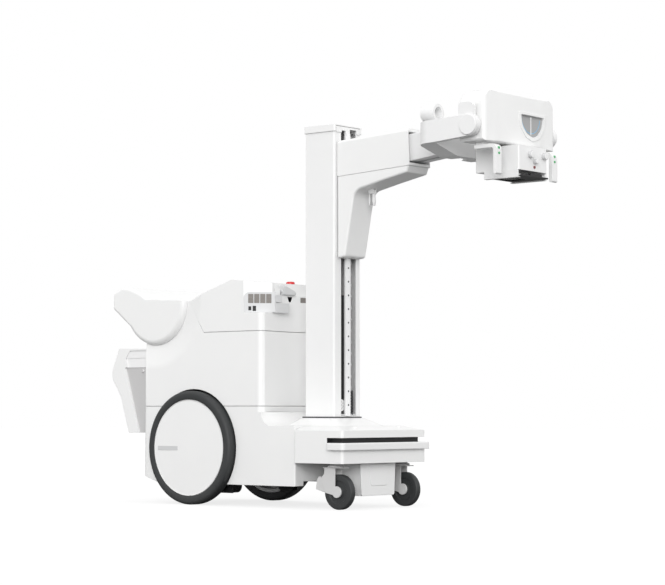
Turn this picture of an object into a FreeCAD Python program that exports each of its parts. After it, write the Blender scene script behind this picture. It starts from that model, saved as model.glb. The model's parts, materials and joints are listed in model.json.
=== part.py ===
import FreeCAD, Part
import os
from math import cos, pi, radians, sin, tan

# A mobile x-ray machine: a motor-driven trolley with a turning column, a counterbalanced
# carriage, a telescopic arm and a tube head held in a yoke.
# Sizes are in millimetres. X points to the front of the machine, Y to its left, Z up.
# Every length below is measured from the rear axle (x = 0) and the floor (z = 0);
# save() moves the finished pieces so that the origin lies under the middle of the machine.
V = FreeCAD.Vector
fit = 0.3                   # gap between pieces that seat on each other
bore_fit = 0.05             # radial clearance of a running fit
seam_width = 2.6            # visible joint line between two covers
seam_depth = 3.0

# Rear wheels
wheel_radius = 254.0
tyre_width = 60.0
rim_radius = 216.0
wheel_face_y = 303.0        # outer face of a rear wheel
axle_radius = 12.5
arch_clearance = 8.0

# Trolley body
wall = 4.0
body_half_width = 267.0
body_rear_x = -322.0
body_bottom = 94.0
pan_bottom = 115.0
flange_width = 55.0
body_front_x = 608.0
ledge_z = 353.0
front_wall_x = 411.0
front_wall_hollow = 36.0    # how far the front wall curves in behind the column
lower_seam_z = 439.0
upper_seam_z = 769.0
seam_foot_x = 63.0          # where the slanting seam meets the upper seam
valley_x = -41.0
valley_z = 912.0
console_top_z = 1000.0

# Rear console
drum_x = -253.0
drum_z = 912.0
drum_radius = 193.0
drum_half_width = 272.0
drum_edge = 24.0
lip_end_x = -523.0
lip_top_z = 991.0
handle_radius = 19.0
handle_x = -500.0
handle_z = 946.0
handle_half_length = 205.0

# Front base
base_rear_x = 622.0
base_front_x = 889.0
base_half_width = 285.0
base_bottom = 195.0
base_edge_z = 335.0
base_corner = 14.0
bumper_corner = 18.0
groove_low = 252.0
groove_high = 304.0
groove_depth = 24.0
groove_rear_x = 803.0
bumper_proud = 16.0
bumper_inset = 12.0         # how far the bumper's inner face lies behind the skin
bumper_travel = 10.0
bumper_high = 283.0

# Casters
caster_radius = 75.0
caster_width = 30.0
caster_trail = 22.0
swivel_x = 802.0
caster_y = 223.5
fork_thickness = 4.0

# Column
column_x = 594.5
column_depth = 167.0
column_half_width = 89.5
column_wall = 6.0
column_bottom = 393.0
column_top = 1645.0
rail_width = 27.0
rail_height = 8.0
rail_pitch = 60.0
slot_left = (-43.0, -16.0)
slot_right = (12.0, 58.0)
column_rear_corner = 5.0
column_front_corner = 9.0
slot_left_top = 1649.0
slot_right_top = 1657.0
cap_margin = 5.0
cap_thickness = 4.5
tongue_half_width = 80.0    # the part of the mast that shows in the open front of the cap
rail_low_z = 395.0
rail_first_hole = 421.0
foot_reach = 15.0           # how far the foot plate reaches out behind the mast
foot_margin = 5.5

# Carriage and telescopic arm
arm_rise = 2.8              # degrees that the arm climbs towards its front end
arm_half_width = 73.0
arm_wall = 5.0
housing_rear_x = 681.0
housing_front_x = 1078.0
seam_rear_z = 1442.0
arm_lip = 12.0              # sill of the housing's mouth, under the middle stage
housing_height = 158.0      # from the arm seam to the top
leg_bottom_z = 1084.0
leg_front_bottom_x = 723.0
leg_front_top_x = 764.0
tube2_half_width = 55.0
tube2_rear_x = 885.0
tube2_front_x = 1312.0
tube2_height = 116.0
tube2_wall = 5.0
tube3_height = 74.0
tube3_half_width = 40.0
tube3_rear_x = 905.0
arm_axis_z = 1540.0         # height of the arm's axis at the mouth of the housing

# Yoke and tube head
yoke_rear_x = 1320.0
yoke_outer_y = 285.0
yoke_arm_thickness = 26.0
yoke_height = 88.0
tilt_x = 1550.0
tilt_z = 1569.0
trunnion_radius = 41.5
trunnion_pin_radius = 15.0
sleeve_front_x = 1298.0      # sleeve of the cable guide
sleeve_length = 68.0
sleeve_radius = 37.5
sleeve_bore = 24.0
sleeve_y = -150.0
sleeve_z = 1656.0
head_half_width = 250.0
head_bottom = 1505.0
head_top = 1725.0
head_front_x = 1616.0
head_rear_x = 1482.0
head_bow = 10.0             # how far the front of the head bows out
head_wall = 5.0
window_y = 75.0             # centre of the angle window
window_width = 170.0
window_top = 1636.0
window_bottom = 1545.0

# Collimator
collimator_half_width = 100.0
collimator_front_x = 1668.0
collimator_rear_x = 1450.0
collimator_bottom = 1396.0
collimator_top = 1497.0
beam_x = 1559.0
knob_radius = 13.0
knob_length = 17.0
knobs = ((-23.0, 1463.0, knob_radius), (76.0, 1464.0, knob_radius), (9.0, 1436.0, 9.0))
light_y = 9.0
light_z = 1413.0

# Detector bin
bin_top = 705.0
bin_bottom = 318.0
bin_reach_x = -555.0        # how far the bin bulges to the rear
bin_half_width = 240.0
bin_panel_depth = 10.0

# Console front
panel_low = 849.0
panel_high = 945.0
louvre_slats = 6
panel_rear_x = 304.0        # where the cut-off corner begins on the side
shelf_x = 362.0
shelf_z = 932.0
shelf_half_width = 165.0
exposure_z = 943.0          # exposure button on the end of the handset
stop_x = 320.0              # emergency stop button
stop_y = 27.0
stop_radius = 20.0

# Deck and post of the frame
deck_z = 197.0
deck_thickness = 8.0
deck_half_width_rear = 240.0
post_radius = 62.0
pad_top = 387.0
foot_low = pad_top + 0.5
well_radius = 98.0           # opening in the ledge round the post
spindle_radius = 40.0

# Lift parts in the column
pulley_y = -30.0
pulley_z = 443.0
pulley_radius = 26.0
rail_y = -2.0
weight_half_width = 70.0
weight_low = 430.0
weight_plates = 10

# Lock lever, hub of the yoke, window and needle
lever_x = 820.0
lever_z = 1374.0
hub_face_x = 1318.0
spigot_radius = 30.0
hub_recess = 84.0
window_depth_x = head_front_x - 13.0
ring_margin = 17.0

# X-ray tube, handles and filter tray
tube_radius = 46.0
tube_x = 1549.0
tube_z = 1600.0
neck_radius = 45.0
collar_radius = 49.0
collar_low = 1519.0          # the collar turns on a seat inside the head
needle_pin_radius = 2.0
needle_z = 1627.0
handle_y0 = 180.0
handle_y1 = 217.0
grip_front_x = 1640.0
grip_low = 1370.0
grip_rail_z = 1478.0
button_heights = (1477.0, 1455.0)
rail_low = 1365.0
tray_z0 = 1369.3
tray_z1 = 1375.0
tray_half_width = 90.0

rear_reach = bin_reach_x - fit
front_reach = collimator_front_x + knob_length
origin_x = (rear_reach + front_reach) / 2
centre = V(-origin_x, 0, 0)


def save(node, shape):
    """Write one node's solids as a STEP file in the machine's own frame."""
    solids = shape.Solids
    moved = Part.makeCompound(solids) if len(solids) > 1 else solids[0].copy()
    moved.translate(centre)
    moved.exportStep("parts/" + node + ".step")
    print(node, len(solids), "solids", round(sum(s.Volume for s in solids) / 1e6, 3), "litres",
          "" if all(s.isValid() for s in solids) else "NOT VALID")


def box(x0, x1, y0, y1, z0, z1):
    return Part.makeBox(x1 - x0, y1 - y0, z1 - z0, V(x0, y0, z0))


def rod_x(r, x0, x1, y, z):
    return Part.makeCylinder(r, x1 - x0, V(x0, y, z), V(1, 0, 0))


def rod_y(r, y0, y1, x, z):
    return Part.makeCylinder(r, y1 - y0, V(x, y0, z), V(0, 1, 0))


def rod_z(r, z0, z1, x, y):
    return Part.makeCylinder(r, z1 - z0, V(x, y, z0), V(0, 0, 1))


def mirrored(shape):
    """The same piece on the other side of the machine."""
    return shape.mirror(V(0, 0, 0), V(0, 1, 0))


def rounded_wire(corners):
    """A closed outline through (point, radius) corners, each rounded by its radius."""
    n = len(corners)
    starts, ends, arcs = [], [], []
    for i in range(n):
        p, r = corners[i]
        before, after = corners[i - 1][0], corners[(i + 1) % n][0]
        a, b = (before - p).normalize(), (after - p).normalize()
        half = a.getAngle(b) / 2
        if r <= 0 or abs(half - pi / 2) < 1e-4:
            starts.append(p)
            ends.append(p)
            arcs.append(None)
            continue
        reach = r / tan(half)
        s, e = p + a * reach, p + b * reach
        middle = p + (a + b).normalize() * (r / sin(half) - r)
        starts.append(s)
        ends.append(e)
        arcs.append(Part.Arc(s, middle, e).toShape())
    edges = []
    for i in range(n):
        if arcs[i]:
            edges.append(arcs[i])
        here, there = ends[i], starts[(i + 1) % n]
        if here.distanceToPoint(there) > 1e-6:
            edges.append(Part.LineSegment(here, there).toShape())
    return Part.Wire(edges)


def side_face(corners, y=0.0):
    """A face in the XZ plane from (x, z, radius) corners."""
    return Part.Face(rounded_wire([(V(x, y, z), r) for x, z, r in corners]))


def plan_face(corners, z=0.0):
    """A face in the XY plane from (x, y, radius) corners."""
    return Part.Face(rounded_wire([(V(x, y, z), r) for x, y, r in corners]))


def front_face(corners, x=0.0):
    """A face in the YZ plane from (y, z, radius) corners."""
    return Part.Face(rounded_wire([(V(x, y, z), r) for y, z, r in corners]))


def side_prism(corners, y0, y1):
    return side_face(corners, y0).extrude(V(0, y1 - y0, 0))


def plan_prism(corners, z0, z1):
    return plan_face(corners, z0).extrude(V(0, 0, z1 - z0))


def front_prism(corners, x0, x1):
    return front_face(corners, x0).extrude(V(x1 - x0, 0, 0))


def shrunk(face, inset):
    """The same face with its edge moved in, or out where inset is negative."""
    return face.makeOffset2D(-inset) if inset else face


def all_fused(shapes):
    first = shapes[0]
    return first.fuse(shapes[1:]).removeSplitter() if len(shapes) > 1 else first


def arm_z(x):
    """Height of the arm's axis above the floor at x."""
    return arm_axis_z + (x - housing_front_x) * tan(radians(arm_rise))


def seam_z(x):
    """Height of the seam between the two arm covers at x."""
    return seam_rear_z + (x - housing_rear_x) * tan(radians(arm_rise))


# Trolley body: one outer form, which the seams divide into covers

def body_profile():
    return side_face([
        (body_rear_x, body_bottom + 31, 14), (-222, body_bottom, 10),
        (body_front_x, body_bottom, 4), (body_front_x, ledge_z, 12),
        (front_wall_x, ledge_z, 55), (front_wall_x, console_top_z - 20, 24),
        (231, console_top_z, 80), (78, valley_z + 40, 90),
        (valley_x, valley_z, 4), (body_rear_x, valley_z, 4)])


def body_plan(corner=26.0):
    """Plan of the body above the ledge: its front wall curves in behind the column."""
    w = body_half_width
    x0, x1 = body_rear_x, front_wall_x
    edges = [
        Part.LineSegment(V(x0 + corner, -w, 0), V(x1 - corner, -w, 0)),
        Part.Arc(V(x1 - corner, -w, 0), V(x1 - 0.3 * corner, -w + 0.3 * corner, 0), V(x1, -w + corner, 0)),
        Part.Arc(V(x1, -w + corner, 0), V(x1 - front_wall_hollow, 0, 0), V(x1, w - corner, 0)),
        Part.Arc(V(x1, w - corner, 0), V(x1 - 0.3 * corner, w - 0.3 * corner, 0), V(x1 - corner, w, 0)),
        Part.LineSegment(V(x1 - corner, w, 0), V(x0 + corner, w, 0)),
        Part.Arc(V(x0 + corner, w, 0), V(x0 + 0.3 * corner, w - 0.3 * corner, 0), V(x0, w - corner, 0)),
        Part.LineSegment(V(x0, w - corner, 0), V(x0, -w + corner, 0)),
        Part.Arc(V(x0, -w + corner, 0), V(x0 + 0.3 * corner, -w + 0.3 * corner, 0), V(x0 + corner, -w, 0))]
    return Part.Face(Part.Wire([e.toShape() for e in edges]))


def skirt_plan():
    """Plan of the body below the ledge, which reaches forward under the column."""
    w = body_half_width
    return plan_face([(body_rear_x, -w, 26), (body_front_x, -w, 6), (body_front_x, w, 6), (body_rear_x, w, 26)])


def body_form(inset):
    """The body's outer form, with every face moved in by inset."""
    profile = shrunk(body_profile(), inset)
    w = body_half_width - inset
    slab = profile.copy()
    slab.translate(V(0, -w, 0))
    slab = slab.extrude(V(0, 2 * w, 0))
    upper = shrunk(body_plan(), inset)
    upper.translate(V(0, 0, ledge_z - 60))
    upper = upper.extrude(V(0, 0, console_top_z))
    flare = 60.0
    skirt = shrunk(skirt_plan(), inset)
    skirt = skirt.extrude(V(0, 0, ledge_z + flare))
    return slab.common(upper.fuse(skirt))


def wheel_arches(grow):
    """The two round pockets that the rear wheels stand in."""
    inner_y = wheel_face_y - tyre_width - arch_clearance - grow
    arch = rod_y(wheel_radius + arch_clearance + grow, inner_y, wheel_face_y + 20, 0, wheel_radius)
    return arch.fuse(mirrored(arch))


def scoops(grow):
    """Shallow cones that dish the body's sides around the rear console."""
    outer, inner, depth = 305.0, drum_radius, 22.0
    y0 = body_half_width - depth - grow
    cone = Part.makeCone(inner - 8, outer + 6, depth + 1.2, V(drum_x, y0, drum_z), V(0, 1, 0))
    return cone.fuse(mirrored(cone))


def body_shell():
    """The body's walls, before the seams divide them."""
    outer = body_form(0).cut(wheel_arches(0)).cut(scoops(0))
    outer = outer.cut(rod_y(drum_radius + fit, -400, 400, drum_x, drum_z))
    inner = body_form(wall).cut(wheel_arches(wall)).cut(scoops(wall))
    inner = inner.cut(rod_y(drum_radius + fit + wall, -400, 400, drum_x, drum_z))
    below = inner.copy()
    below.translate(V(0, 0, -wall - 6))
    shell = outer.cut(inner).cut(below)
    notch = box(body_front_x - 40, body_front_x + 10, flange_width - body_half_width,
                body_half_width - flange_width, body_bottom - 10, pan_bottom)
    post = rod_z(well_radius, ledge_z - 30, ledge_z + 20, column_x, 0)
    stub = rod_y(axle_radius + 12, -400, 400, 0, wheel_radius)
    return shell.cut(notch).cut(post).cut(stub)


def seam_groove(z):
    """A thin slab that cuts the joint line between two covers."""
    slab = box(-800, 800, -400, 400, z - seam_width / 2, z + seam_width / 2)
    return slab.cut(body_form(seam_depth))


def console_outline():
    return side_face([(seam_foot_x, upper_seam_z, 8), (valley_x, valley_z, 0), (valley_x, 1200, 0),
                      (800, 1200, 0), (800, upper_seam_z, 0)], -400)


def console_region():
    """Everything above the upper seam and the slanting seam."""
    return console_outline().extrude(V(0, 800, 0))


def console_groove():
    """The joint line along the slanting seam and the upper seam."""
    face = console_outline()
    band = shrunk(face, -seam_width / 2).cut(shrunk(face, seam_width / 2)).extrude(V(0, 800, 0))
    return band.cut(body_form(seam_depth))


def on_panel(shape):
    """Move a piece built flat against y = 0 (outward is -Y) onto the cut-off corner."""
    moved = shape.copy()
    moved.rotate(V(0, 0, 0), V(0, 0, 1), 45)
    moved.translate(V(panel_rear_x, -body_half_width, 0))
    return moved


def panel_corner():
    """The front corner of the console that is cut off at 45 degrees for the port panel."""
    return on_panel(box(-200, 400, -200, 0, panel_low, console_top_z + 60))


def lower_cover():
    shell = body_shell().common(box(-600, 700, -400, 400, 0, lower_seam_z))
    slot = box(body_front_x - 20, body_front_x + 10, -deck_half_width_rear - 2, deck_half_width_rear + 2,
               deck_z - 1, deck_z + deck_thickness + 1)
    post_hole = rod_z(post_radius + 2, deck_z, ledge_z, column_x, 0)
    return shell.cut(slot).cut(post_hole).cut(seam_groove(lower_seam_z))


def mid_cover():
    region = box(-600, 700, -400, 400, lower_seam_z, 1200).cut(console_region())
    shell = body_shell().common(region)
    shell = shell.cut(seam_groove(lower_seam_z)).cut(console_groove())
    return max(shell.Solids, key=lambda s: s.Volume)


def console_top_cover():
    """The console with its cut-off corner, front shelf and the well of the stop button."""
    inside = body_form(0.5)
    backing = on_panel(box(-5, 160, 0, wall, panel_low - wall, console_top_z + 20)).common(inside)
    floor = on_panel(box(-5, 160, -80, wall, panel_low - wall, panel_low)).common(inside)
    shelf = box(shelf_x - wall, front_wall_x + 20, -shelf_half_width, shelf_half_width, shelf_z - wall,
                console_top_z + 20).common(inside)
    holder = box(shelf_x + 2, shelf_x + 26, -156, -118, shelf_z - 1, shelf_z + 30)
    space = box(shelf_x, front_wall_x + 20, -shelf_half_width + wall, shelf_half_width - wall, shelf_z,
                console_top_z + 20)
    well = rod_z(stop_radius + 7, 960, 996, stop_x, stop_y).common(inside)
    shell = body_shell().common(console_region()).cut(console_groove()).cut(panel_corner())
    shell = shell.fuse([backing, floor, shelf, well]).cut(space).fuse(holder)
    shell = shell.cut(rod_z(stop_radius + 3, 966, 1020, stop_x, stop_y))
    shell = shell.cut(rod_z(8 + bore_fit, 940, 980, stop_x, stop_y))
    socket = front_prism([(-57, 926, 2), (-46, 903, 3), (-34, 903, 3), (-23, 926, 2)], shelf_x, front_wall_x + 10)
    slot = box(front_wall_x - 60, front_wall_x + 10, 32, 72, 903, 926)
    return shell.cut(socket).cut(slot).removeSplitter()


# Rear console, its display and handle

def console_top_line(x):
    """Height of the gently sloping top of the rear console."""
    return 915 + (-60 - x) * 12 / 225


def rear_console_form(inset):
    """A half-drum with a lip that leans back over the rear, every face moved in by inset."""
    w = drum_half_width - inset
    soft = drum_edge - inset
    drum = rod_y(drum_radius - inset, -w, w, drum_x, drum_z)
    drum = drum.makeFillet(soft, [e for e in drum.Edges if e.Length > 900])
    below = side_prism([(-800, 600, 0), (200, 600, 0), (200, console_top_line(200) - inset, 0),
                        (-800, console_top_line(-800) - inset, 0)], -w - 9, w + 9)
    lip = side_prism([(-230, 830, 0), (-230, console_top_line(-230) - inset, 0),
                      (-285, console_top_line(-285) - inset, 60), (-344 + inset, 961 - inset, 60),
                      (-417 + inset, 988 - inset, 60), (-464 + inset, lip_top_z - inset, 30),
                      (lip_end_x + inset, 966 - inset, 24), (lip_end_x + inset, 892 + inset, 14),
                      (-372, 779 + inset * 1.4, 0)], -w, w)
    rims = [e for e in lip.Edges if e.BoundBox.YLength < 1e-3 and e.BoundBox.XMax < -284 + inset
            or e.BoundBox.YLength < 1e-3 and e.BoundBox.XMin < -400]
    return drum.common(below).fuse(lip.makeFillet(soft * 0.6, rims))


def rear_console():
    w = drum_half_width
    hollow = rear_console_form(wall + 2).cut(box(-800, -400, -400, 400, 600, 1200))
    mouth = box(drum_x - 90, drum_x + 90, -160, 160, drum_z - drum_radius - 10, drum_z - drum_radius + 40)
    grip = box(-800, handle_x + 75, -handle_half_length, handle_half_length, 600, 1200)
    bar = rod_y(handle_radius + fit, -handle_half_length - 12.3, handle_half_length + 12.3, handle_x, handle_z)
    guide = box(-472.5, -450.5, -handle_half_length - 12, handle_half_length + 12, 919.5, 940.5)
    return rear_console_form(0).cut(hollow).cut(mouth).cut(grip).cut(bar).cut(guide).cut(display_slab(fit, 8))


def display_slab(grow, rise):
    x0, x1 = -280 - grow, -80 + grow
    thick = 6.0
    slab = side_prism([(x0, console_top_line(x0) - thick, 0), (x1, console_top_line(x1) - thick, 0),
                       (x1, console_top_line(x1) + rise, 0), (x0, console_top_line(x0) + rise, 0)],
                      -150 - grow, 150 + grow)
    return slab


def control_display():
    return display_slab(0, -0.4)


def push_handle():
    return rod_y(handle_radius, -handle_half_length - 12, handle_half_length + 12, handle_x, handle_z)


def deadman_bar():
    half = handle_half_length + 10
    return side_prism([(-465, 920, 5), (-451, 920, 5), (-451, 940, 5), (-465, 940, 5)], -half, half)


# Frame and what it carries inside the covers


def base_frame():
    """Floor pan, rails, axle beam with its stub axles, front deck and the post of the column."""
    rear = -268.0
    parts = [box(rear, 600, -228, 228, pan_bottom, pan_bottom + 5)]
    for side in (-1, 1):
        y0, y1 = sorted((side * 100, side * 140))
        parts.append(box(rear, 592, y0, y1, pan_bottom + 5, 183))
        parts.append(box(-20, 20, y0, y1, pan_bottom + 5, wheel_radius))
        tab = sorted((side * 220, side * (body_half_width - wall)))
        parts.append(box(330, 400, tab[0], tab[1], pan_bottom, pan_bottom + 60))
        parts.append(box(rear, rear + 6, tab[0], tab[1], pan_bottom, pan_bottom + 60))
        axle = sorted((side * 200, side * (wheel_face_y - 17)))
        parts.append(rod_y(axle_radius, axle[0], axle[1], 0, wheel_radius))
    parts.append(box(-20, 20, -226, 226, wheel_radius - 20, wheel_radius + 20))
    parts.append(box(588, 598, -200, 200, pan_bottom, deck_z + deck_thickness))
    parts.append(box(530, 640, -deck_half_width_rear, deck_half_width_rear, deck_z, deck_z + deck_thickness))
    deck_w = base_half_width - 23
    parts.append(box(612, base_front_x - 19, -deck_w, deck_w, deck_z, deck_z + deck_thickness))
    parts.append(rod_z(post_radius, deck_z, foot_low - fit, column_x, 0))
    parts.append(rod_z(spindle_radius, foot_low - 2, column_bottom + 12, column_x, 0))
    frame = all_fused(parts)
    for side in (-1, 1):
        frame = frame.cut(rod_z(10 + bore_fit, deck_z - 5, deck_z + 20, swivel_x, side * caster_y))
    return frame


def battery_pack():
    trays = [box(-285 + i * 128, -285 + i * 128 + 118, -205, 205, 183 + fit, 186) for i in range(2)]
    blocks = []
    for i in range(2):
        for j in range(3):
            x0, y0 = -282 + i * 128, -202 + j * 136
            blocks.append(box(x0, x0 + 112, y0, y0 + 132, 186, 350))
    strap = box(-285, -39, -205, 205, 350, 353)
    return all_fused(trays + blocks + [strap])


def xray_generator():
    tank = box(60, 380, -200, 200, 183 + fit, 400)
    lid = box(52, 388, -208, 208, 400, 408)
    ribs = [box(54, 386, y, y + 6, 210, 400) for y in (-150, -50, 44, 144)]
    return all_fused([tank, lid] + ribs)


def drive_gearmotors():
    """Two motors under the floor pan, close behind the rear wheels."""
    top = pan_bottom - fit
    motor = rod_y(30, -222, -150, 160, 84).fuse(box(122, 198, -222, -214, 54, top))
    motor = motor.fuse(box(136, 184, -214, -155, 84, top)).fuse(rod_y(14, -226, -222, 140, 84)).removeSplitter()
    return Part.makeCompound([motor, mirrored(motor)])


# Front base

def base_outline(out, z, corner=None):
    """Plan of the front base, grown by out; its two front corners are rounded."""
    w, front = base_half_width + out, base_front_x + out
    r = corner or max(base_corner + out, 1)
    return plan_face([(base_rear_x, -w, 0), (front, -w, r), (front, w, r), (base_rear_x, w, 0)], z)


def tapered(low, high):
    """A straight-sided body between two outlines with the same number of corners."""
    return Part.makeLoft([low.OuterWire, high.OuterWire], True, True)


def base_deck(inset):
    """Everything of the front base above its vertical skirt."""
    low = plan_face([(base_rear_x, -base_half_width + inset, 0.5),
                     (base_front_x - inset, -base_half_width + inset, base_corner - inset),
                     (base_front_x - inset, base_half_width - inset, base_corner - inset),
                     (base_rear_x, base_half_width - inset, 0.5)], base_edge_z - inset)
    high = plan_face([(base_rear_x, -base_half_width + 62, 0.5), (base_front_x - 62, -base_half_width + 62, 30),
                      (base_front_x - 62, base_half_width - 62, 30), (base_rear_x, base_half_width - 62, 0.5)],
                     ledge_z - inset)
    return tapered(low, high)


def column_pad():
    """The raised pad that leads from the deck and the ledge up to the foot of the column."""
    low = plan_face([(470, -170, 20), (770, -170, 50), (770, 170, 50), (470, 170, 20)], ledge_z + fit)
    high = plan_face([(490, -106, 20), (696, -106, 20), (696, 106, 20), (490, 106, 20)], pad_top)
    root = low.extrude(V(0, 0, -3)).common(box(base_rear_x, 1000, -400, 400, 300, 400))
    return tapered(low, high).fuse(root)


def front_base_cover():
    skirt = base_outline(0, base_bottom).extrude(V(0, 0, base_edge_z - base_bottom))
    skirt = skirt.cut(base_outline(-wall, base_bottom - 1).extrude(V(0, 0, base_edge_z - base_bottom + 2)))
    rear = box(base_rear_x, base_rear_x + wall, -base_half_width + 1, base_half_width - 1, deck_z + 20, base_edge_z)
    deck = base_deck(0).cut(base_deck(wall)).common(box(500, 1000, -400, 400, 300, 400))
    groove_back = base_outline(-groove_depth, groove_low - wall).cut(
        base_outline(-groove_depth - wall, groove_low - wall)).extrude(V(0, 0, groove_high - groove_low + 2 * wall))
    lips = []
    for z in (groove_low - wall, groove_high):
        ring = base_outline(-1, z).cut(base_outline(-groove_depth - 1, z)).extrude(V(0, 0, wall))
        lips.append(ring)
    front_zone = box(groove_rear_x - wall, 1000, -400, 400, 100, 400)
    lining = all_fused([groove_back] + lips).common(front_zone)
    ends = []
    for side in (-1, 1):
        y = sorted((side * (base_half_width - groove_depth - wall), side * (base_half_width - 1)))
        ends.append(box(groove_rear_x - wall, groove_rear_x, y[0], y[1], groove_low - wall, groove_high + wall))
    feet = [rod_z(9, deck_z + deck_thickness + fit, ledge_z - 2, x, y) for x, y in
            ((700, -150), (700, 150), (845, -150), (845, 150))]
    shell = all_fused([skirt, rear, deck, column_pad(), lining] + ends + feet)
    groove = base_outline(40, groove_low).cut(base_outline(-groove_depth, groove_low))
    groove = groove.extrude(V(0, 0, groove_high - groove_low)).common(box(groove_rear_x, 1000, -400, 400, 0, 400))
    shell = shell.cut(groove)
    well = rod_z(post_radius + 2, base_bottom - 5, pad_top + 5, column_x, 0)
    return shell.cut(well).cut(box(500, base_rear_x, -400, 400, 100, ledge_z + fit))


def front_bumper():
    low = groove_low + fit
    ring = base_outline(bumper_proud, low, bumper_corner).cut(base_outline(-bumper_inset, low))
    bar = ring.extrude(V(0, 0, bumper_high - low))
    bar = bar.common(box(groove_rear_x + bumper_travel + 2, 1000, -400, 400, 0, 400))
    long_edges = [e for e in bar.Edges if abs(e.BoundBox.ZMax - bumper_high) < 0.01 and e.BoundBox.ZLength < 0.01
                  and e.BoundBox.XLength + e.BoundBox.YLength > 40]
    return bar.makeFillet(5, long_edges)


def front_box():
    """The box between the casters, with a shallow recess in its front."""
    top = deck_z - fit
    block = front_prism([(-120, top, 0), (-111.5, 54, 8), (111.5, 54, 8), (120, top, 0)], 700, 853)
    recess = front_prism([(-61, top + 1, 0), (-52, 99, 12), (62, 99, 12), (71, top + 1, 0)], 843, 860)
    hollow = front_prism([(-112, top + 1, 0), (-104, 62, 6), (104, 62, 6), (112, top + 1, 0)], 706, 838)
    return block.cut(recess).cut(hollow)


# Casters: built for the right side, then mirrored

def fork_plate(y0, y1):
    plate = side_prism([(-50, 193, 4), (12, 193, 4), (14, 124, 16), (40, 88, 10), (24, 52, 8), (-2, 60, 20),
                        (-62, 104, 8), (-62, 156, 8), (-50, 168, 4)], y0, y1)
    return plate.fuse(rod_y(25, y0, y1, caster_trail, caster_radius))


def caster_fork():
    gap = caster_width / 2 + 2
    plates = [fork_plate(-gap - fork_thickness, -gap), fork_plate(gap, gap + fork_thickness)]
    crown = box(-50, 12, -gap - fork_thickness, gap + fork_thickness, 187, 193)
    collar = rod_z(22, 190, deck_z - fit, 0, 0)
    pin = rod_z(10, 190, deck_z + deck_thickness + 3, 0, 0)
    head = rod_z(14, deck_z + deck_thickness + fit, deck_z + deck_thickness + 4, 0, 0)
    axle = rod_y(6, -gap - fork_thickness - 3, gap + fork_thickness + 3, caster_trail, caster_radius)
    caps = [rod_y(11, -gap - fork_thickness - 3, -gap - 1, caster_trail, caster_radius),
            rod_y(11, gap + 1, gap + fork_thickness + 3, caster_trail, caster_radius)]
    pivot = rod_y(4, -gap - fork_thickness, gap + fork_thickness, -52, 128)
    fork = all_fused(plates + [crown, collar, pin, head, axle, pivot] + caps)
    fork.translate(V(swivel_x, -caster_y, 0))
    return fork


def caster_pedal():
    """The brake pedal on its pin behind the wheel."""
    gap = caster_width / 2 + 2
    blade = side_prism([(-66, 152, 4), (-73, 96, 5), (-93, 86, 5), (-98, 112, 6)], -22, 22)
    lug = side_prism([(-70, 136, 0), (-70, 120, 0), (-52, 120, 0), (-52, 136, 0)], -gap + fit, gap - fit)
    lug = lug.fuse(rod_y(8, -gap + fit, gap - fit, -52, 128))
    pedal = blade.fuse(lug).cut(rod_y(4 + bore_fit, -30, 30, -52, 128)).removeSplitter()
    pedal.translate(V(swivel_x, -caster_y, 0))
    return pedal


def caster_wheel():
    half = caster_width / 2
    wheel = rod_y(caster_radius, -half, half, caster_trail, caster_radius)
    wheel = wheel.makeFillet(7, [e for e in wheel.Edges if e.Length > 300])
    for side in (-1, 1):
        dish = sorted((side * (half - 5), side * (half + 1)))
        ring = rod_y(54, dish[0], dish[1], caster_trail, caster_radius)
        wheel = wheel.cut(ring.cut(rod_y(24, dish[0], dish[1], caster_trail, caster_radius)))
    wheel = wheel.cut(rod_y(6 + bore_fit, -half - 1, half + 1, caster_trail, caster_radius))
    wheel.translate(V(swivel_x, -caster_y, 0))
    return wheel


# Rear wheels: built for the right side, then mirrored

def rear_tyre():
    outer = -wheel_face_y
    tyre = rod_y(wheel_radius, outer, outer + tyre_width, 0, wheel_radius)
    tyre = tyre.cut(rod_y(rim_radius, outer - 1, outer + tyre_width + 1, 0, wheel_radius))
    return tyre.makeFillet(13, [e for e in tyre.Edges if e.BoundBox.XLength > 2 * rim_radius + 10
                                and e.BoundBox.YLength < 1e-3])


def rear_hub():
    outer, r = -wheel_face_y, rim_radius - fit
    disc = Part.makeCone(r - 5, r, 4, V(0, outer + 1, wheel_radius), V(0, 1, 0))
    disc = disc.fuse(rod_y(r, outer + 5, outer + tyre_width - 4, 0, wheel_radius))
    disc = disc.cut(rod_y(r - 16, outer + 9, outer + tyre_width + 2, 0, wheel_radius))
    boss = rod_y(36, outer + 6, outer + tyre_width - 2, 0, wheel_radius)
    ribs = []
    for i in range(3):
        rib = box(-r + 8, r - 8, outer + 6, outer + tyre_width - 16, wheel_radius - 4, wheel_radius + 4)
        rib.rotate(V(0, 0, wheel_radius), V(0, 1, 0), 60 * i)
        ribs.append(rib)
    hub = all_fused([disc, boss] + ribs)
    return hub.cut(rod_y(axle_radius + bore_fit, outer + 16, outer + tyre_width + 2, 0, wheel_radius))


# Column

def column_outline(inset, z):
    x0, x1 = column_x - column_depth / 2 + inset, column_x + column_depth / 2 - inset
    w = column_half_width - inset
    rear, front = column_rear_corner - inset, column_front_corner - inset
    return plan_face([(x0, -w, rear), (x1, -w, front), (x1, w, front), (x0, w, rear)], z)


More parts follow.
